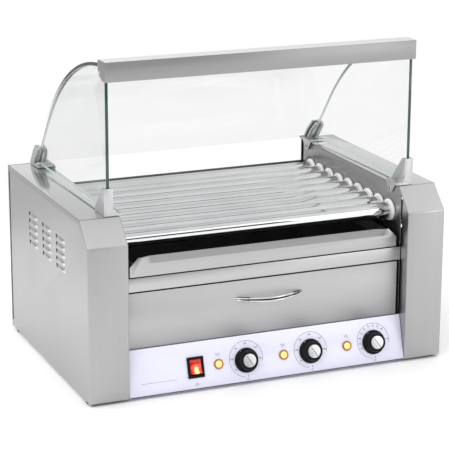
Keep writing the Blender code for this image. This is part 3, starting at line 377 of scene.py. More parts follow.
def skinned(shape, rings, closed=True):
    """Join rings of corners with faces, one after another. A ring of one corner is a pole."""
    for first, second in zip(rings, rings[1:]):
        count = max(len(first), len(second))
        for step in range(count if closed else count - 1):
            following = (step + 1) % count
            corners = [first[step % len(first)], first[following % len(first)],
                       second[following % len(second)], second[step % len(second)]]
            if count > 1:
                shape.faces.new(list(dict.fromkeys(corners)))


def prism(outline, axis, low, high):
    """Extrude a flat outline along an axis."""
    shape = bmesh.new()
    ends = [[shape.verts.new(on_axis(axis, along, *point)) for point in outline] for along in (low, high)]
    for end in ends:
        shape.faces.new(end)
    skinned(shape, ends)
    bmesh.ops.recalc_face_normals(shape, faces=shape.faces)
    return shape


def block(low, high):
    low, high = [min(pair) for pair in zip(low, high)], [max(pair) for pair in zip(low, high)]
    outline = [(low[0], low[1]), (high[0], low[1]), (high[0], high[1]), (low[0], high[1])]
    return prism(outline, "Z", low[2], high[2])


def arc(centre, radius, start, end, steps):
    span = end - start
    return [(centre[0] + radius * math.cos(start + span * index / steps),
             centre[1] + radius * math.sin(start + span * index / steps)) for index in range(steps + 1)]


def turned(profile, segments=64, radius_at=None):
    """Sweep a closed outline of (along, radius) points round the local Z axis. A radius of 0 is a pole.

    radius_at(angle, radius, index) may change a radius as it goes round.
    """
    shape = bmesh.new()
    rings = []
    for index, (along, radius) in enumerate(profile):
        if radius == 0:
            rings.append([shape.verts.new((0, 0, along))])
            continue
        ring = []
        for step in range(segments):
            angle = math.tau * step / segments
            reach = radius_at(angle, radius, index) if radius_at else radius
            ring.append(shape.verts.new((reach * math.cos(angle), reach * math.sin(angle), along)))
        rings.append(ring)
    skinned(shape, rings + rings[:1])
    bmesh.ops.recalc_face_normals(shape, faces=shape.faces)
    return shape


def rounded(corners, radius, steps=3):
    """Round the corners of a profile, a list of (along, radius) or (y, z) points, but not its ends."""
    points = [corners[0]]
    for before, corner, after in zip(corners, corners[1:], corners[2:]):
        here = Vector(corner)
        back, on = Vector(before) - here, Vector(after) - here
        cut_back = min(radius, back.length * 0.45, on.length * 0.45)
        start, end = here + back.normalized() * cut_back, here + on.normalized() * cut_back
        for step in range(steps + 1):
            share = step / steps
            points.append(tuple((1 - share) ** 2 * start + 2 * share * (1 - share) * here + share ** 2 * end))
    return points + [corners[-1]]


def joined(shapes):
    whole = bmesh.new()
    for shape in shapes:
        scrap = bpy.data.meshes.new("scrap")
        shape.to_mesh(scrap)
        whole.from_mesh(scrap)
        shape.free()
        bpy.data.meshes.remove(scrap)
    return whole


def placed(shape, matrix):
    shape.transform(matrix)
    return shape


def facing(axis, place):
    """A matrix that stands a shape's local Z along an axis, at a place."""
    turn = Vector(axis).to_track_quat("Z", "Y").to_matrix().to_4x4()
    return Matrix.Translation(place) @ turn


def raw(name, shape, look=None):
    """Turn a shape into an object."""
    mesh = bpy.data.meshes.new(name)
    shape.to_mesh(mesh)
    shape.free()
    made = bpy.data.objects.new(name, mesh)
    bpy.context.scene.collection.objects.link(made)
    if look:
        mesh.materials.append(LOOKS[look])
    return made


def discard(made):
    """Remove an object and its mesh."""
    mesh = made.data
    bpy.data.objects.remove(made)
    bpy.data.meshes.remove(mesh)


def applied(made):
    """Bake an object's modifiers into its mesh."""
    bpy.context.view_layer.update()
    seen = made.evaluated_get(bpy.context.evaluated_depsgraph_get())
    result = bpy.data.meshes.new_from_object(seen)
    made.modifiers.clear()
    old = made.data
    made.data = result
    bpy.data.meshes.remove(old)
    result.name = made.name
    return made


def bevel_edges(made, width, segments, angle=30):
    bevel = made.modifiers.new("edges", "BEVEL")
    bevel.width = width
    bevel.segments = segments
    bevel.limit_method = "ANGLE"
    bevel.angle_limit = math.radians(angle)


def softened(made, width, segments=3, angle=30):
    """Round an object's edges with a bevel."""
    bevel_edges(made, width, segments, angle)
    return applied(made)


def carve(made, shape):
    """Cut a shape out of an object with an exact boolean."""
    cutter = raw("cutter", shape)
    step = made.modifiers.new("carve", "BOOLEAN")
    step.operation = "DIFFERENCE"
    step.solver = "EXACT"
    step.object = cutter
    applied(made)
    discard(cutter)


def finish_piece(made, body, nodes=(), angle=35):
    """Shade a piece, hang it on the body it rides on, and hide the nodes it stands for."""
    made.data.shade_smooth()
    made.data.set_sharp_from_angle(angle=math.radians(angle))
    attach(made, body)
    if nodes:
        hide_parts(*nodes)
    return made


def piece(name, shape, look, body, nodes=(), angle=35):
    return finish_piece(raw(name, shape, look), body, nodes, angle)


def keep_node(name, look, width, segments=2):
    """Keep a CAD node, with its corners welded and rounded, and give it a detailed surface."""
    node = NODES[name]
    node.data.materials.clear()
    node.data.materials.append(LOOKS[look])
    if node.data.has_custom_normals:
        node.data.attributes.remove(node.data.attributes["custom_normal"])
    weld = node.modifiers.new("weld", "WELD")
    weld.merge_threshold = 0.00001
    if width:
        bevel_edges(node, width, segments)
    node.data.shade_smooth()


def paint(made, look, test):
    """Give the faces that pass a test another surface."""
    made.data.materials.append(LOOKS[look])
    index = len(made.data.materials) - 1
    for face in made.data.polygons:
        if test(face):
            face.material_index = index


def joint_place(name):
    return Vector(JOINTS[name]["pos_m"])


def middle_x(node):
    low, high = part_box(node)
    return (low.x + high.x) / 2


# ---- casing ----
def box_outline(inset, bottom, back):
    """Side view of a side box: upright front, 45 degree chamfer, level top."""
    diagonal = inset * math.sqrt(2)
    face_top = TOP_Z - CHAMFER
    return [(FRONT_Y + inset, bottom), (FRONT_Y + inset, face_top + inset - diagonal),
            (FRONT_Y + CHAMFER - inset + diagonal, TOP_Z - inset), (back, TOP_Z - inset), (back, bottom)]


def louvre_hood(side, y, z):
    """One pressed louvre: a cowl that swells at its front end and runs down to an open mouth at the rear."""
    shape = bmesh.new()
    columns, rows = 22, 10
    front, rear = y - LOUVRE_HALF, y + LOUVRE_HALF * 0.62
    sunk, rise = 0.0004, LOUVRE_RISE + 0.0003
    nose_end, run_down, crown_power = 0.34, 0.62, 1.1
    grid = []
    for row in range(rows + 1):
        across = 2 * row / rows - 1
        crown = math.cos(across * math.pi / 2) ** crown_power if abs(across) < 1 else 0.0
        line = []
        for column in range(columns + 1):
            along = column / columns
            nose = min(1.0, along / nose_end)
            swell = math.sin(nose * math.pi / 2) * (1 - run_down * along) * crown
            x = side * (OUTER_X - sunk + rise * swell)
            line.append(shape.verts.new((x, front + (rear - front) * along, z + LOUVRE_TALL * across)))
        grid.append(line)
    skinned(shape, grid, closed=False)
    bmesh.ops.recalc_face_normals(shape, faces=shape.faces)
    if sum(face.normal.x for face in shape.faces) * side < 0:
        bmesh.ops.reverse_faces(shape, faces=shape.faces)
    return shape


def side_casing(side, hand):
    """Folded sheet casing of a side box with rounded folds and pierced, pressed louvres."""
    beyond, through = 0.05, 0.01
    node = f"{hand}_housing"
    solid = prism(box_outline(0, BODY_LOW_Z, BACK_Y), "X", side * INNER_X, side * OUTER_X)
    case = softened(raw(node + "_shell", solid, "casing"), FOLD_R, 4)
    carve(case, prism(box_outline(SHEET, BODY_LOW_Z - beyond, BACK_Y + beyond), "X",
                      side * (INNER_X + SHEET), side * (OUTER_X - SHEET)))

    chamfer_z = TOP_Z - CHAMFER + BAY_Y - FRONT_Y - SHEET * math.sqrt(2)
    inside_y = BAY_Y - SHEET
    opening = [(inside_y, BODY_LOW_Z - beyond), (inside_y, chamfer_z - SHEET),
               (FRONT_Y + CHAMFER + SHEET * (math.sqrt(2) - 1), TOP_Z - SHEET),
               (BACK_Y + beyond, TOP_Z - SHEET), (BACK_Y + beyond, BODY_LOW_Z - beyond)]
    carve(case, prism(opening, "X", side * (INNER_X - through), side * (INNER_X + SHEET + 0.0005)))

    rows = [LOUVRE_TOP_Z - row * LOUVRE_PITCH for row in range(LOUVRE_ROWS)]
    places = [(FRONT_Y + y, z) for y in LOUVRE_YS for z in rows]
    slit_start, slit_end = 0.30 * LOUVRE_HALF, 0.96 * LOUVRE_HALF
    carve(case, joined([block((side * (OUTER_X - through), y + slit_start, z - SLIT_TALL),
                              (side * (OUTER_X + through), y + slit_end, z + SLIT_TALL)) for y, z in places]))

    seam, seam_low, seam_high = 0.0080, 0.014, 0.009       # the open seam in front of the back panel
    carve(case, block((side * (OUTER_X - SHEET - 0.001), BACK_Y - seam, BODY_LOW_Z + seam_low),
                      (side * (OUTER_X + through), BACK_Y + beyond, TOP_Z - seam_high)))
    groove, groove_low, groove_high = 0.0008, 0.0064, 0.0054      # the fold's line under the top
    carve(case, block((side * (OUTER_X - groove), FRONT_Y + CHAMFER + 0.004, TOP_Z - groove_low),
                      (side * (OUTER_X + through), BACK_Y + beyond, TOP_Z - groove_high)))
    finish_piece(case, "body", (node,))
    # The upward faces of the sheet get the lighter top look: painted light.
    paint(case, "casing_top", lambda face: face.normal.z > 0.95)
    # The sloping chamfer faces get the lighter look: painted light.
    paint(case, "chamfer", lambda face: face.normal.z > 0.6 and face.normal.y < -0.6)

    hoods = raw(f"{hand}_louvres", joined([louvre_hood(side, *place) for place in places]), "casing")
    sheet = hoods.modifiers.new("sheet", "SOLIDIFY")
    sheet.thickness = 0.0008
    sheet.offset = -1
    finish_piece(applied(hoods), "body", (), 60)
    # The front-facing ends of the louvres get a painted highlight.
    paint(hoods, "nose", lambda face: face.normal.y < -0.17 and face.normal.x * side > 0.5)


# ---- rollers and bushes ----
def roller_parts():
    """Smooth hollow rollers with rolled-in ends, and their toothed sprockets in the drive box."""
    low_x, high_x = (corner.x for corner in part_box("roller_1"))
    bore = ROLLER_R - ROLLER_WALL
    outline = rounded([(low_x, bore), (low_x, ROLLER_R), (high_x, ROLLER_R), (high_x, bore)], 0.0006)
    for index in ROLLERS:
        name = f"roller_{index}"
        _, y, z = joint_place(name + "_spin")
        stand = facing((1, 0, 0), (0, y, z))
        tube = placed(turned(outline, 72), stand)
        piece(f"roller_tube_{index}", tube, "chrome", name, (name,))
        sprocket = placed(sprocket_shape(SPROCKET_TEETH, *SPROCKET_XS, ROLLER_R + 0.0001), stand)
        piece(f"roller_sprocket_{index}", sprocket, "dark", name)


def sprocket_shape(teeth, low_x, high_x, bore):
    """Toothed disc with rounded roots and chamfered tips, round local Z."""
    pitch_r = CHAIN_PITCH / (2 * math.sin(math.pi / teeth))
    root_r, edge_r, tip_r = pitch_r - 0.00165, pitch_r + 0.0006, pitch_r + 0.00145
    chamfer = 0.0005

    def tooth(angle, radius, index):
        if radius < pitch_r * 0.95:
            return radius
        wave = 0.5 + 0.5 * math.cos(angle * teeth)
        return root_r + (radius - root_r) * min(1.0, wave * 1.5)

    profile = [(low_x, bore), (low_x, edge_r), (low_x + chamfer, tip_r), (high_x - chamfer, tip_r),
               (high_x, edge_r), (high_x, bore)]
    return turned(profile, teeth * 8, tooth)


def bush_parts():
    """White flanged bushes with a rounded flange and a step round the tube."""
    face, back, end = 0.0045, 0.0003, -0.0042
    bore, lip_r, shoulder_r, neck_r, flange_r = ROLLER_R + 0.0003, 0.0141, 0.0146, 0.0148, 0.0168
    outline = rounded([(face, bore), (face, lip_r), (face - 0.0006, shoulder_r), (face - 0.0004, flange_r),
                       (back, flange_r), (back, neck_r), (end, neck_r), (end, bore)], 0.0008, 4)
    for side, hand in HANDS:
        for index in ROLLERS:
            _, y, z = joint_place(f"roller_{index}_spin")
            shape = placed(turned(outline, 56), facing((-side, 0, 0), (side * INNER_X, y, z)))
            nodes = (f"right_bush_{index}",) if side > 0 else (("left_bush_strip",) if index == 1 else ())
            piece(f"{hand}_flanged_bush_{index}", shape, "bush", "body", nodes)


# ---- control panel ----
INWARD = Vector(JOINTS["knob_1_turn"]["axis"]).normalized()
UPHILL = Vector((0, -INWARD.z, INWARD.y))


def panel_matrix(x, rise=0.0):
    """Local x to the right, local y up the slope, local z out of the panel, about the controls' line."""
    _, y, z = joint_place("knob_1_turn")
    turn = Matrix((Vector((1, 0, 0)), UPHILL, -INWARD)).transposed().to_4x4()
    return Matrix.Translation(Vector((x, y, z)) + UPHILL * rise) @ turn


def knob_parts():
    """Ribbed black knobs with a spun aluminium disc let into the face and a pointer line."""
    skirt, foot, grip, face_r, height, bore = 0.0190, 0.0008, 0.0040, 0.0140, 0.0149, 0.0062
    ribs, rib_depth, taper_steps = 36, 0.00055, 6
    line_half, line_reach = 0.0004, 0.0088

    def ribbed(angle, radius, index):
        on_grip = first_rib <= index <= last_rib
        return radius - (rib_depth * (0.5 + 0.5 * math.cos(ribs * angle)) if on_grip else 0.0)

    corners = [(foot, bore), (foot, skirt), (grip - 0.0008, skirt - 0.0004), (grip + 0.0002, 0.0163)]
    first_rib, last_rib = len(corners), len(corners) + taper_steps
    for step in range(taper_steps + 1):
        share = step / taper_steps
        corners.append((grip + 0.0008 + (height - 0.0022 - grip) * share, 0.0159 - 0.0016 * share))
    corners += [(height - 0.0006, face_r - 0.0002), (height, face_r - 0.0010), (height, 0.0108),
                (height - 0.0005, 0.0106), (height - 0.0005, 0.0), (foot + 0.004, 0.0), (foot + 0.004, bore)]
    disc = rounded([(height - 0.0006, 0.0), (height - 0.0006, 0.0103), (height - 0.0001, 0.0101),
                    (height - 0.0001, 0.0)], 0.0003)
    for index in KNOBS:
        body = f"knob_{index}"
        stand = panel_matrix(joint_place(body + "_turn").x)
        turn = stand @ Matrix.Rotation(math.radians(32), 4, "Z")
        piece(f"knob_body_{index}", placed(turned(corners, 144, ribbed), stand), "black", body,
              (body,), 40)
        piece(f"knob_disc_{index}", placed(turned(disc, 64), stand), "disc", body)
        line = block((-line_half, -line_reach, height - 0.0002), (line_half, line_reach, height - 0.00005))
        piece(f"knob_line_{index}", placed(line, turn), "ink", body)
        notch = block((-line_half, 0.0166, grip - 0.0005), (line_half, 0.0182, grip - 0.0002))
        piece(f"knob_pointer_{index}", placed(notch, turn), "mark", body)


def lamp_parts():
    """Indicator lamps: a stepped amber bezel and a domed lens that glows."""
    bezel = rounded([(GAP, 0.0050), (GAP, 0.0078), (0.0012, 0.0077), (0.0022, 0.0068), (0.0022, 0.0054),
                     (0.0012, 0.0050)], 0.0004)
    rim, rise, radius, steps = 0.0016, 0.0025, 0.0053, 8
    angles = [math.pi / 2 * step / steps for step in range(steps)]
    dome = [(0.0004, 0.0), (0.0004, 0.0052)]
    dome += [(rim + rise * math.sin(angle), radius * math.cos(angle)) for angle in angles]
    dome.append((rim + rise, 0.0))
    for index in KNOBS:
        node = f"heat_lamp_{index}"
        stand = panel_matrix(middle_x(node))
        piece(f"lamp_bezel_{index}", placed(turned(bezel, 48), stand), "amber", "body", (node,))
        piece(f"lamp_lens_{index}", placed(turned(dome, 48), stand), "lens", "body")


def switch_parts():
    """Black bezel with a rounded frame, and the lit rocker in it."""
    far, deep = 0.02, -0.03
    frame_x, frame_y, neck_x, neck_y, well_x, well_y = 0.0130, 0.0158, 0.0108, 0.0134, 0.0094, 0.0123
    stand = panel_matrix(middle_x("power_switch_body"))
    bezel = raw("switch_bezel", block((-frame_x, -frame_y, -0.0218), (frame_x, frame_y, 0.0020)), "black")
    carve(bezel, joined([block((side * neck_x, -far, deep), (side * far, far, GAP)) for side in (-1, 1)]))
    neck_x -= 0.0001
    cuts = [block((-neck_x, side * neck_y, deep), (neck_x, side * far, GAP)) for side in (-1, 1)]
    carve(bezel, joined(cuts))
    carve(bezel, block((-well_x, -well_y, -0.0125), (well_x, well_y, 0.01)))
    softened(bezel, 0.0006)
    bezel.data.transform(stand)
    finish_piece(bezel, "body", ("power_switch_body",))

    half_x, half_v, dip, crest, pivot_out, steps = 0.0088, 0.0109, 0.0022, 0.0045, 0.0035, 6
    flank, keel = -0.0020, -0.0050
    places = [half_v * (step / steps - 1) for step in range(2 * steps + 1)]
    outline = [(place, dip + (crest - dip) * (place / half_v) ** 2) for place in places]
    outline += [(half_v - 0.0006, flank), (half_v * 0.6, keel)]
    outline += [(-along, out) for along, out in outline[:-3:-1]]
    shape = prism([(along, out + pivot_out) for along, out in outline], "X", -half_x, half_x)
    rocker = softened(raw("rocker_lens", shape, "rocker"), 0.0005)
    stand.translation = joint_place("rocker_tilt")
    rocker.data.transform(stand @ Matrix.Rotation(math.radians(-9), 4, "X"))
    finish_piece(rocker, "rocker", ("power_switch_rocker",))


# ---- print on the panel ----
def ribbon(points, width):
    """A flat strip of ink along points (x, y) of the panel's plane."""
    shape = bmesh.new()
    rows = []
    for index, point in enumerate(points):
        before, after = points[max(0, index - 1)], points[min(len(points) - 1, index + 1)]
        run = Vector((after[0] - before[0], after[1] - before[1])).normalized()
        across = Vector((-run.y, run.x)) * width / 2
        near, far = Vector(point) - across, Vector(point) + across
        rows.append([shape.verts.new((*corner, height)) for corner, height in
                     ((near, 0), (far, 0), (far, INK_HEIGHT), (near, INK_HEIGHT))])
    skinned(shape, rows)
    shape.faces.new(rows[0])
    shape.faces.new(rows[-1])
    bmesh.ops.recalc_face_normals(shape, faces=shape.faces)
    return shape


def printed(name, shapes, stand):
    piece(name, placed(joined(shapes), stand), "ink", "body")


def numeral(text, size, x, y):
    """A number in ink, centred on a point of the panel's plane."""
    curve = bpy.data.curves.new("numeral", "FONT")
    curve.body = text
    curve.size = size
    curve.align_x = "CENTER"
    curve.align_y = "CENTER"
    curve.extrude = INK_HEIGHT / 2
    curve.resolution_u = 3
    holder = bpy.data.objects.new("numeral", curve)
    bpy.context.scene.collection.objects.link(holder)
    bpy.context.view_layer.update()
    seen = holder.evaluated_get(bpy.context.evaluated_depsgraph_get())
    mesh = bpy.data.meshes.new_from_object(seen)
    shape = bmesh.new()
    shape.from_mesh(mesh)
    bmesh.ops.translate(shape, vec=(x, y, INK_HEIGHT / 2), verts=shape.verts)
    bpy.data.objects.remove(holder)
    bpy.data.meshes.remove(mesh)
    return shape


def on_dial(degrees, radius):
    """A point on a dial, clockwise from its top."""
    angle = math.radians(degrees)
    return (radius * math.sin(angle), radius * math.cos(angle))


def dial_print():
    """Scale ring, ticks and numbers round each knob."""
    coarse = [(-130, "50"), (-86, "100"), (-43, "150"), (0, "200"), (48, "250"), (95, "300")]
    fine = [(-115 + 20 * step, str(20 + 10 * step)) for step in range(9)] + [(90, "110")]

    def tick(angle, length, width):
        return ribbon([on_dial(angle, DIAL_R - length), on_dial(angle, DIAL_R)], width)

    for index, marks in ((1, coarse), (2, coarse), (3, fine)):
        shapes = [ribbon([on_dial(angle, DIAL_R) for angle in range(-170, 104, 3)], 0.00045)]
        for angle, text in marks:
            shapes += [tick(angle, 0.0014, 0.0004), numeral(text, 0.0036, *on_dial(angle, DIAL_R - 0.0042))]
        for first, second in zip(marks, marks[1:]):
            shapes.append(tick((first[0] + second[0]) / 2, 0.0010, 0.00028))
        shapes += [tick(178, 0.0030, 0.0008), numeral("°C", 0.0042, 0.0, -0.0310)]
        printed(f"dial_marks_{index}", shapes, panel_matrix(joint_place(f"knob_{index}_turn").x, DIAL_RISE))


def wave(x, y, height):
    """One rising wavy line of a heat mark."""
    return [(x + 0.0007 * math.sin(math.tau * step / 12), y + height * step / 12) for step in range(13)]


def symbols():
    """Generic marks: heat waves over each lamp, a power mark under the switch and a thin rule; and a dark ink
    strip along the panel's foot that is painted shade.
    """
    for index in KNOBS:
        waves = [ribbon(wave(shift, 0.0128, 0.0042), 0.0005) for shift in (-0.0024, 0.0, 0.0024)]
        printed(f"heat_mark_{index}", waves, panel_matrix(middle_x(f"heat_lamp_{index}")))
    circle = [on_dial(angle, 0.0020) for angle in range(35, 326, 10)]
    power = [ribbon(circle, 0.0005), ribbon([(0, 0.0003), (0, 0.0028)], 0.0005)]
    printed("power_mark", power, panel_matrix(middle_x("power_switch_body"), -0.0256))
    rule_y = -0.0143
    printed("panel_rule", [ribbon([(-0.2078, rule_y), (-0.1515, rule_y)], 0.00035)], panel_matrix(0))
    # The dark strip along the panel's bottom edge is painted shade where the panel meets the base.
    low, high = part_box("control_panel")
    foot = (low.z - joint_place("knob_1_turn").z) / UPHILL.z + 0.0010
    edge = ribbon([(low.x + 0.0004, foot), (high.x - 0.0004, foot)], 0.0014)
    printed("panel_foot_painted_shade", [edge], panel_matrix(0))


# ---- drawer handle ----
def handle_part():
    """Plated bow handle: two long ridges with a channel between them, closing to a pad at each end. The pad
    tops and a line down the channel are painted shade in dark chrome.
    """
    low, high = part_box("drawer_handle")
    middle = (low + high) / 2
    half, reach, height = (high.x - low.x) / 2, high.y - low.y, (high.z - low.z) / 2
    stations, sides = 64, 40
    last_ring, pad_start, pad_shade = 0.9985, 0.845, 0.62     # shares of the half length
    thickness, end_height, channel_depth, channel_width = 0.0072, 0.36, 0.0030, 0.30
    shape = bmesh.new()
    rings = []
    for station in range(stations + 1):
        share = math.sin((station / stations - 0.5) * math.pi) * last_ring
        outer_y = high.y - reach * (1 - share * share)
        hollow = max(0.0, 1 - (share / pad_start) ** 2)
        inner_y = high.y - 0.0002 - (reach - thickness) * hollow
        tall = height * (end_height + (1 - end_height) * (1 - abs(share) ** 3.0))
        ring = []
        for step in range(sides):
            angle = math.tau * step / sides
            y = (outer_y + inner_y) / 2 + (inner_y - outer_y) / 2 * math.cos(angle)
            bulge = abs(math.sin(angle)) ** 0.75 * math.copysign(1, math.sin(angle))
            if math.cos(angle) < 0:
                y += channel_depth * (1 - abs(share) ** 4) * math.exp(-(bulge / channel_width) ** 2)
            ring.append(shape.verts.new((middle.x + half * share, y, middle.z + tall * bulge)))
        rings.append(ring)
    skinned(shape, rings)
    shape.faces.new(rings[0])
    shape.faces.new(rings[-1])
    bmesh.ops.recalc_face_normals(shape, faces=shape.faces)
    bow = piece("bow_handle", shape, "handle", "drawer", ("drawer_handle",), 50)
    # The tops of the handle's end pads are painted shade.
    paint(bow, "handle_painted_shade", lambda face: abs(face.center.x - middle.x) > half * pad_shade and face.normal.z > 0.6)
    # A line down the middle of the handle's front channel is painted shade.
    paint(bow, "handle_painted_shade", lambda face: abs(face.index % sides + 0.5 - sides / 2) < 1)


# ---- hood ----
def hood_curve(offset, start_y, end_z, steps=48):
    """Side view of the curved glass, moved inwards by an offset: an arc, then the straight tail."""
    radius = HOOD_R - offset
    start = math.acos((start_y - HOOD_CENTRE[0]) / radius)
    points = arc(HOOD_CENTRE, radius, start, math.pi / 2 - HOOD_TAIL, steps)
    tail_y, tail_z = points[-1]
    run = (tail_z - end_z) / math.tan(HOOD_TAIL)
    return points + [(tail_y + run, end_z)]


def hood_parts():
    """Curved rear glass and the two flat panes, with polished green edges."""
    low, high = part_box("rear_curved_glass")
    outline = hood_curve(0, low.y, low.z) + hood_curve(GLASS, low.y, low.z)[::-1]
    curved = softened(raw("curved_glass", prism(outline, "X", low.x, high.x), "glass"), GLASS_ROUNDING, 2, 60)
    finish_piece(curved, "body", ("rear_curved_glass",), 30)
    paint(curved, "bent_edge", lambda face: abs(face.normal.x) > 0.5)
    for hand in ("left", "right"):
        low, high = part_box(f"{hand}_side_glass")
        outline = [(low.y, low.z)] + hood_curve(GLASS + GAP, low.y, low.z)
        flat = raw(f"{hand}_glass_pane", prism(outline, "X", low.x, high.x), "glass")
        pane = softened(flat, GLASS_ROUNDING, 2, 60)
        finish_piece(pane, "body", (f"{hand}_side_glass",), 30)
        paint(pane, "bent_edge", lambda face: abs(face.normal.x) < 0.5)
        paint(pane, "edge", lambda face: face.normal.y < -0.5)
        paint(pane, "low_edge", lambda face: face.normal.z < -0.5)


# ---- screws, feet, gland ----
def screw(place, direction, radius=0.0032, height=0.0018):
    """Pan-head screw with a cross recess, its head standing along a direction."""
    head = rounded([(0.0, 0.0), (0.0, radius), (height * 0.45, radius * 0.98), (height, radius * 0.62),
                    (height, 0.0)], radius * 0.2)
    made = raw("screw", turned(head, 32), "screw")
    wing, slot, floor = radius * 0.52, radius * 0.11, height * 0.45
    for x, y in ((wing, slot), (slot, wing)):
        carve(made, block((-x, -y, floor), (x, y, height + 0.001)))
    shape = bmesh.new()
    shape.from_mesh(made.data)
    discard(made)
    return placed(shape, facing(direction, place))


def socket(place, direction, radius, height):
    """A black hexagon solid in a screw's head, put where the socket's hollow would show shade: painted shade.
    """
    outline = [(height * 0.5, 0.0), (height * 0.5, radius), (height, radius), (height, 0.0)]
    return placed(turned(outline, 6), facing(direction, place))


def screws():
    """Screws of the clamp tabs and of the back panel, each group one piece."""
    tab_rise, bar_rise, bar_y = 0.0075, 0.0120, FRONT_Y + 0.0530
    tabs, painted_shade_hexagons = [], []
    for side, hand in HANDS:
        for clamp, y in (("front", FRONT_Y + 0.0565), ("rear", FRONT_Y + 0.3585)):
            low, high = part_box(f"{hand}_{clamp}_clamp")
            place = (low.x if side > 0 else high.x, y, low.z + tab_rise)
            tabs.append(screw(place, (-side, 0, 0), 0.0038, 0.0018))
            painted_shade_hexagons.append(socket(place, (-side, 0, 0), 0.0017, 0.00184))
        low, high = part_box("hood_top_bar")
        place = (high.x if side > 0 else low.x, bar_y, low.z + bar_rise)
        tabs.append(screw(place, (side, 0, 0), 0.0024, 0.0011))
        painted_shade_hexagons.append(socket(place, (side, 0, 0), 0.0010, 0.00112))
    piece("clamp_screws", joined(tabs), "screw", "body")
    # The black hexagons in the clamp screws' heads are painted shade.
    piece("clamp_screw_painted_shade", joined(painted_shade_hexagons), "black", "body")
    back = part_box("back_panel")[1].y - 0.0001
    edge_x, inner_x, low_z, high_z = 0.282, 0.215, 0.014, 0.222
    places = [(side * edge_x, z) for side in (-1, 1) for z in (0.020, 0.100, 0.250)]
    places += [(x, z) for x in (-inner_x, inner_x, 0) for z in (low_z, high_z)]
    heads = [screw((x, back, z), (0, 1, 0)) for x, z in places]
    piece("back_screws", joined(heads), "screw", "body")


def foot_parts():
    """Rubber feet with a rounded rim and a screw recess underneath."""
    recess, recess_r, tread_r, rim_r, foot_r = 0.0015, 0.0048, 0.0098, 0.0108, 0.0110
    for end in ("front", "rear"):
        for hand in ("left", "right"):
            node = f"foot_{end}_{hand}"
            low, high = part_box(node)
            tall = high.z - low.z
            outline = rounded([(recess, 0.0), (recess, recess_r), (0.0, recess_r + 0.0002), (0.0, tread_r),
                               (0.0008, rim_r), (tall, foot_r), (tall, 0.0)], 0.0005)
            middle = (low + high) / 2
            shape = placed(turned(outline, 40), Matrix.Translation((middle.x, middle.y, low.z)))
            piece(f"rubber_{node}", shape, "rubber", "body", (node,))


def gland_part():
    """Cable gland on the back: a hexagon flange, a ribbed dome nut and the thread inside."""
    low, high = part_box("cable_gland")
    middle = (low + high) / 2
    bore, thread_r, washer_r, hexagon_r, dome_r, neck_r = 0.0040, 0.0080, 0.0114, 0.0110, 0.0098, 0.0086

    def shaped(angle, radius, index):
        if radius == hexagon_r:
            return radius * 0.87 / max(0.87, math.cos((angle + math.pi / 6) % (math.pi / 3) - math.pi / 6))
        if radius in (dome_r, neck_r):
            return radius - 0.0004 * (0.5 + 0.5 * math.cos(24 * angle))
        return radius

    inside, outside, tip = low.y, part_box("back_panel")[1].y + GAP, high.y
    corners = [(inside, bore), (inside, thread_r), (inside + 0.005, thread_r), (inside + 0.005, washer_r),
               (inside + 0.0098, washer_r), (inside + 0.0098, thread_r), (outside, thread_r),
               (outside, hexagon_r), (outside + 0.0045, hexagon_r), (outside + 0.0050, dome_r),
               (outside + 0.0105, neck_r), (tip - 0.0004, 0.0064), (tip, 0.0052), (tip, bore)]
    shape = placed(turned(corners, 96, shaped), facing((0, 1, 0), (middle.x, 0, middle.z)))
    piece("gland_nut", shape, "black", "body", ("cable_gland",), 30)


# ---- carried-over CAD nodes ----
def kept_nodes():
    """CAD nodes whose shape is right: rounded edges and a detailed surface."""
    looks = {"front_rail": "sheet", "drip_tray": "tray", "drawer_front": "drawer", "drawer_tray": "inside",
             "hood_top_bar": "bar", "control_panel": "panel", "back_panel": "casing", "base_pan": "inside",
             "left_inner_plate": "plate", "right_inner_plate": "plate", "drawer_heater": "dark",
             "gear_motor": "motor"}
    looks.update({f"thermostat_{index}": "bakelite" for index in KNOBS})
    for name, look in looks.items():
        keep_node(name, look, 0.0003)
    for name in ("heater_bank", "drive_chain", "motor_sprocket"):
        keep_node(name, "dark", 0.0)
    for _, hand in HANDS:
        for end in ("front", "rear"):
            keep_node(f"{hand}_{end}_clamp", "cast", 0.0009, 4)
    # The bar's upward faces get the lighter look: painted light.
    paint(NODES["hood_top_bar"], "bar_top", lambda face: face.normal.z > 0.9)
    # The rail's and drawer front's top and bottom faces are painted shade, darkening the gaps between them.
    for name in ("front_rail", "drawer_front"):
        paint(NODES[name], "shade", lambda face: abs(face.normal.z) > 0.9)
    tray, low = NODES["drip_tray"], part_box("drip_tray")[0]
    lip_rise, floor_rise = 0.0188, 0.01
    # The tray's underside is painted shade.
    paint(tray, "shade", lambda face: face.normal.z < -0.9)
    # The upper front faces of the tray's lip get the darker look: painted shade.
    paint(tray, "lip", lambda face: face.center.z > low.z + lip_rise and face.normal.y < -0.3)
    # The tray's floor is painted near black: painted shade under the rollers.
    paint(tray, "tray_floor", lambda face: face.normal.z > 0.9 and face.center.z < low.z + floor_rise
          and face.center.y > low.y + 0.002)


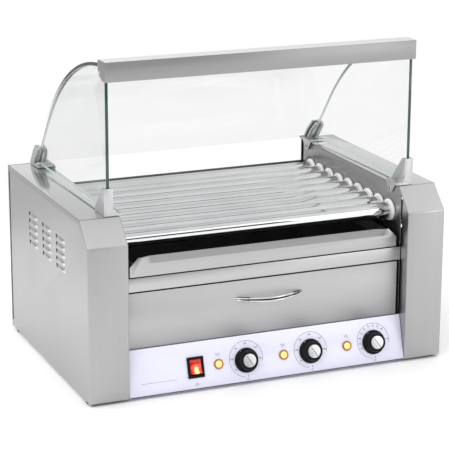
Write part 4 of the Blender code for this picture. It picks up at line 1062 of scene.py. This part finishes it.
# ---- studio ----
def surroundings():
    """White to the eye; metal mirrors a grey room with a long light over a dark skirting in front."""
    world = bpy.data.worlds.new("studio")
    bpy.context.scene.world = world
    world.use_nodes = True
    tree = world.node_tree

    def ranged(source, low_in, high_in, low, high, easing="SMOOTHSTEP"):
        ends = {"Value": source, "From Min": low_in, "From Max": high_in, "To Min": low, "To Max": high}
        return new_node(tree, "ShaderNodeMapRange", ends, interpolation_type=easing).outputs["Result"]

    def profile(stops):
        return colour_ramp(tree, height, [((level + 1) / 2, (value,) * 3) for level, value in stops])

    def blend(factor, first, second):
        node = new_node(tree, "ShaderNodeMix", {"Factor": factor}, data_type="RGBA")
        colours = [socket for socket in node.inputs if socket.type == "RGBA"]
        for target, value in zip(colours, (first, second)):
            if isinstance(value, tuple):
                target.default_value = value
            else:
                tree.links.new(value, target)
        return next(socket for socket in node.outputs if socket.type == "RGBA")

    direction = new_node(tree, "ShaderNodeTexCoord").outputs["Generated"]
    axes = new_node(tree, "ShaderNodeSeparateXYZ", {"Vector": direction}).outputs
    height = ranged(axes["Z"], -1.0, 1.0, 0.0, 1.0, "LINEAR")
    around = new_node(tree, "ShaderNodeVectorMath",
                      {0: profile(SIDE_ROOM), "Scale": ranged(axes["Y"], -0.1, 0.8, 1.0, BACK_DIM)},
                      operation="SCALE")
    room = blend(ranged(axes["Y"], -0.55, -0.30, 1.0, 0.0), around.outputs["Vector"], profile(FRONT_ROOM))
    white = (1 / ROOM_LIGHT, 1 / ROOM_LIGHT, 1 / ROOM_LIGHT, 1.0)
    eye = blend(new_node(tree, "ShaderNodeLightPath").outputs["Is Camera Ray"], room, white)
    tree.nodes["Background"].inputs["Strength"].default_value = ROOM_LIGHT
    tree.links.new(eye, tree.nodes["Background"].inputs["Color"])


def studio():
    """Pale floor, plain surroundings and soft lights."""
    sheet = bmesh.new()
    bmesh.ops.create_grid(sheet, x_segments=8, y_segments=8, size=1.0)
    depth = FLOOR_BACK - FLOOR_FRONT
    middle = Matrix.Translation((0, FLOOR_FRONT + depth / 2, 0))
    placed(sheet, middle @ Matrix.Diagonal((FLOOR_HALF, depth / 2, 1, 1)))
    raw("floor", sheet, "floor")
    surroundings()
    for name, place, width, power, aim, seen in LAMPS:
        data = bpy.data.lights.new(name, "AREA")
        data.shape = "SQUARE"
        data.size = width
        data.energy = power
        lamp = bpy.data.objects.new(name, data)
        lamp.location = place
        lamp.rotation_euler = (Vector(aim) - Vector(place)).to_track_quat("-Z", "Y").to_euler()
        lamp.visible_camera = lamp.visible_glossy = seen
        bpy.context.scene.collection.objects.link(lamp)
    data = bpy.data.lights.new("skylight", "SUN")
    data.energy = SKYLIGHT
    data.angle = SKYLIGHT_SPREAD
    overhead = bpy.data.objects.new("skylight", data)
    overhead.visible_glossy = False
    bpy.context.scene.collection.objects.link(overhead)
    bpy.context.scene.view_settings.view_transform = "Standard"


def camera():
    """The viewpoint: left of centre, a little above the machine, with a long lens."""
    back = Vector((math.sin(AZIMUTH) * math.cos(ELEVATION), -math.cos(AZIMUTH) * math.cos(ELEVATION),
                   math.sin(ELEVATION)))
    right = (-back).cross(Vector((0, 0, 1))).normalized()
    up = right.cross(-back)
    rolled_right = right * math.cos(ROLL) + up * math.sin(ROLL)
    rolled_up = up * math.cos(ROLL) - right * math.sin(ROLL)
    data = bpy.data.cameras.new("camera")
    data.lens = LENS
    data.sensor_width = SENSOR
    data.clip_start = 0.1
    data.clip_end = 50.0
    seen = bpy.data.objects.new("camera", data)
    axes = Matrix((rolled_right, rolled_up, back)).transposed().to_4x4()
    seen.matrix_world = Matrix.Translation(CAMERA_PLACE) @ axes
    bpy.context.scene.collection.objects.link(seen)
    bpy.context.scene.camera = seen


camera()
studio()
kept_nodes()
for side, hand in HANDS[::-1]:
    side_casing(side, hand)
roller_parts()
bush_parts()
knob_parts()
lamp_parts()
switch_parts()
dial_print()
symbols()
handle_part()
hood_parts()
screws()
foot_parts()
gland_part()
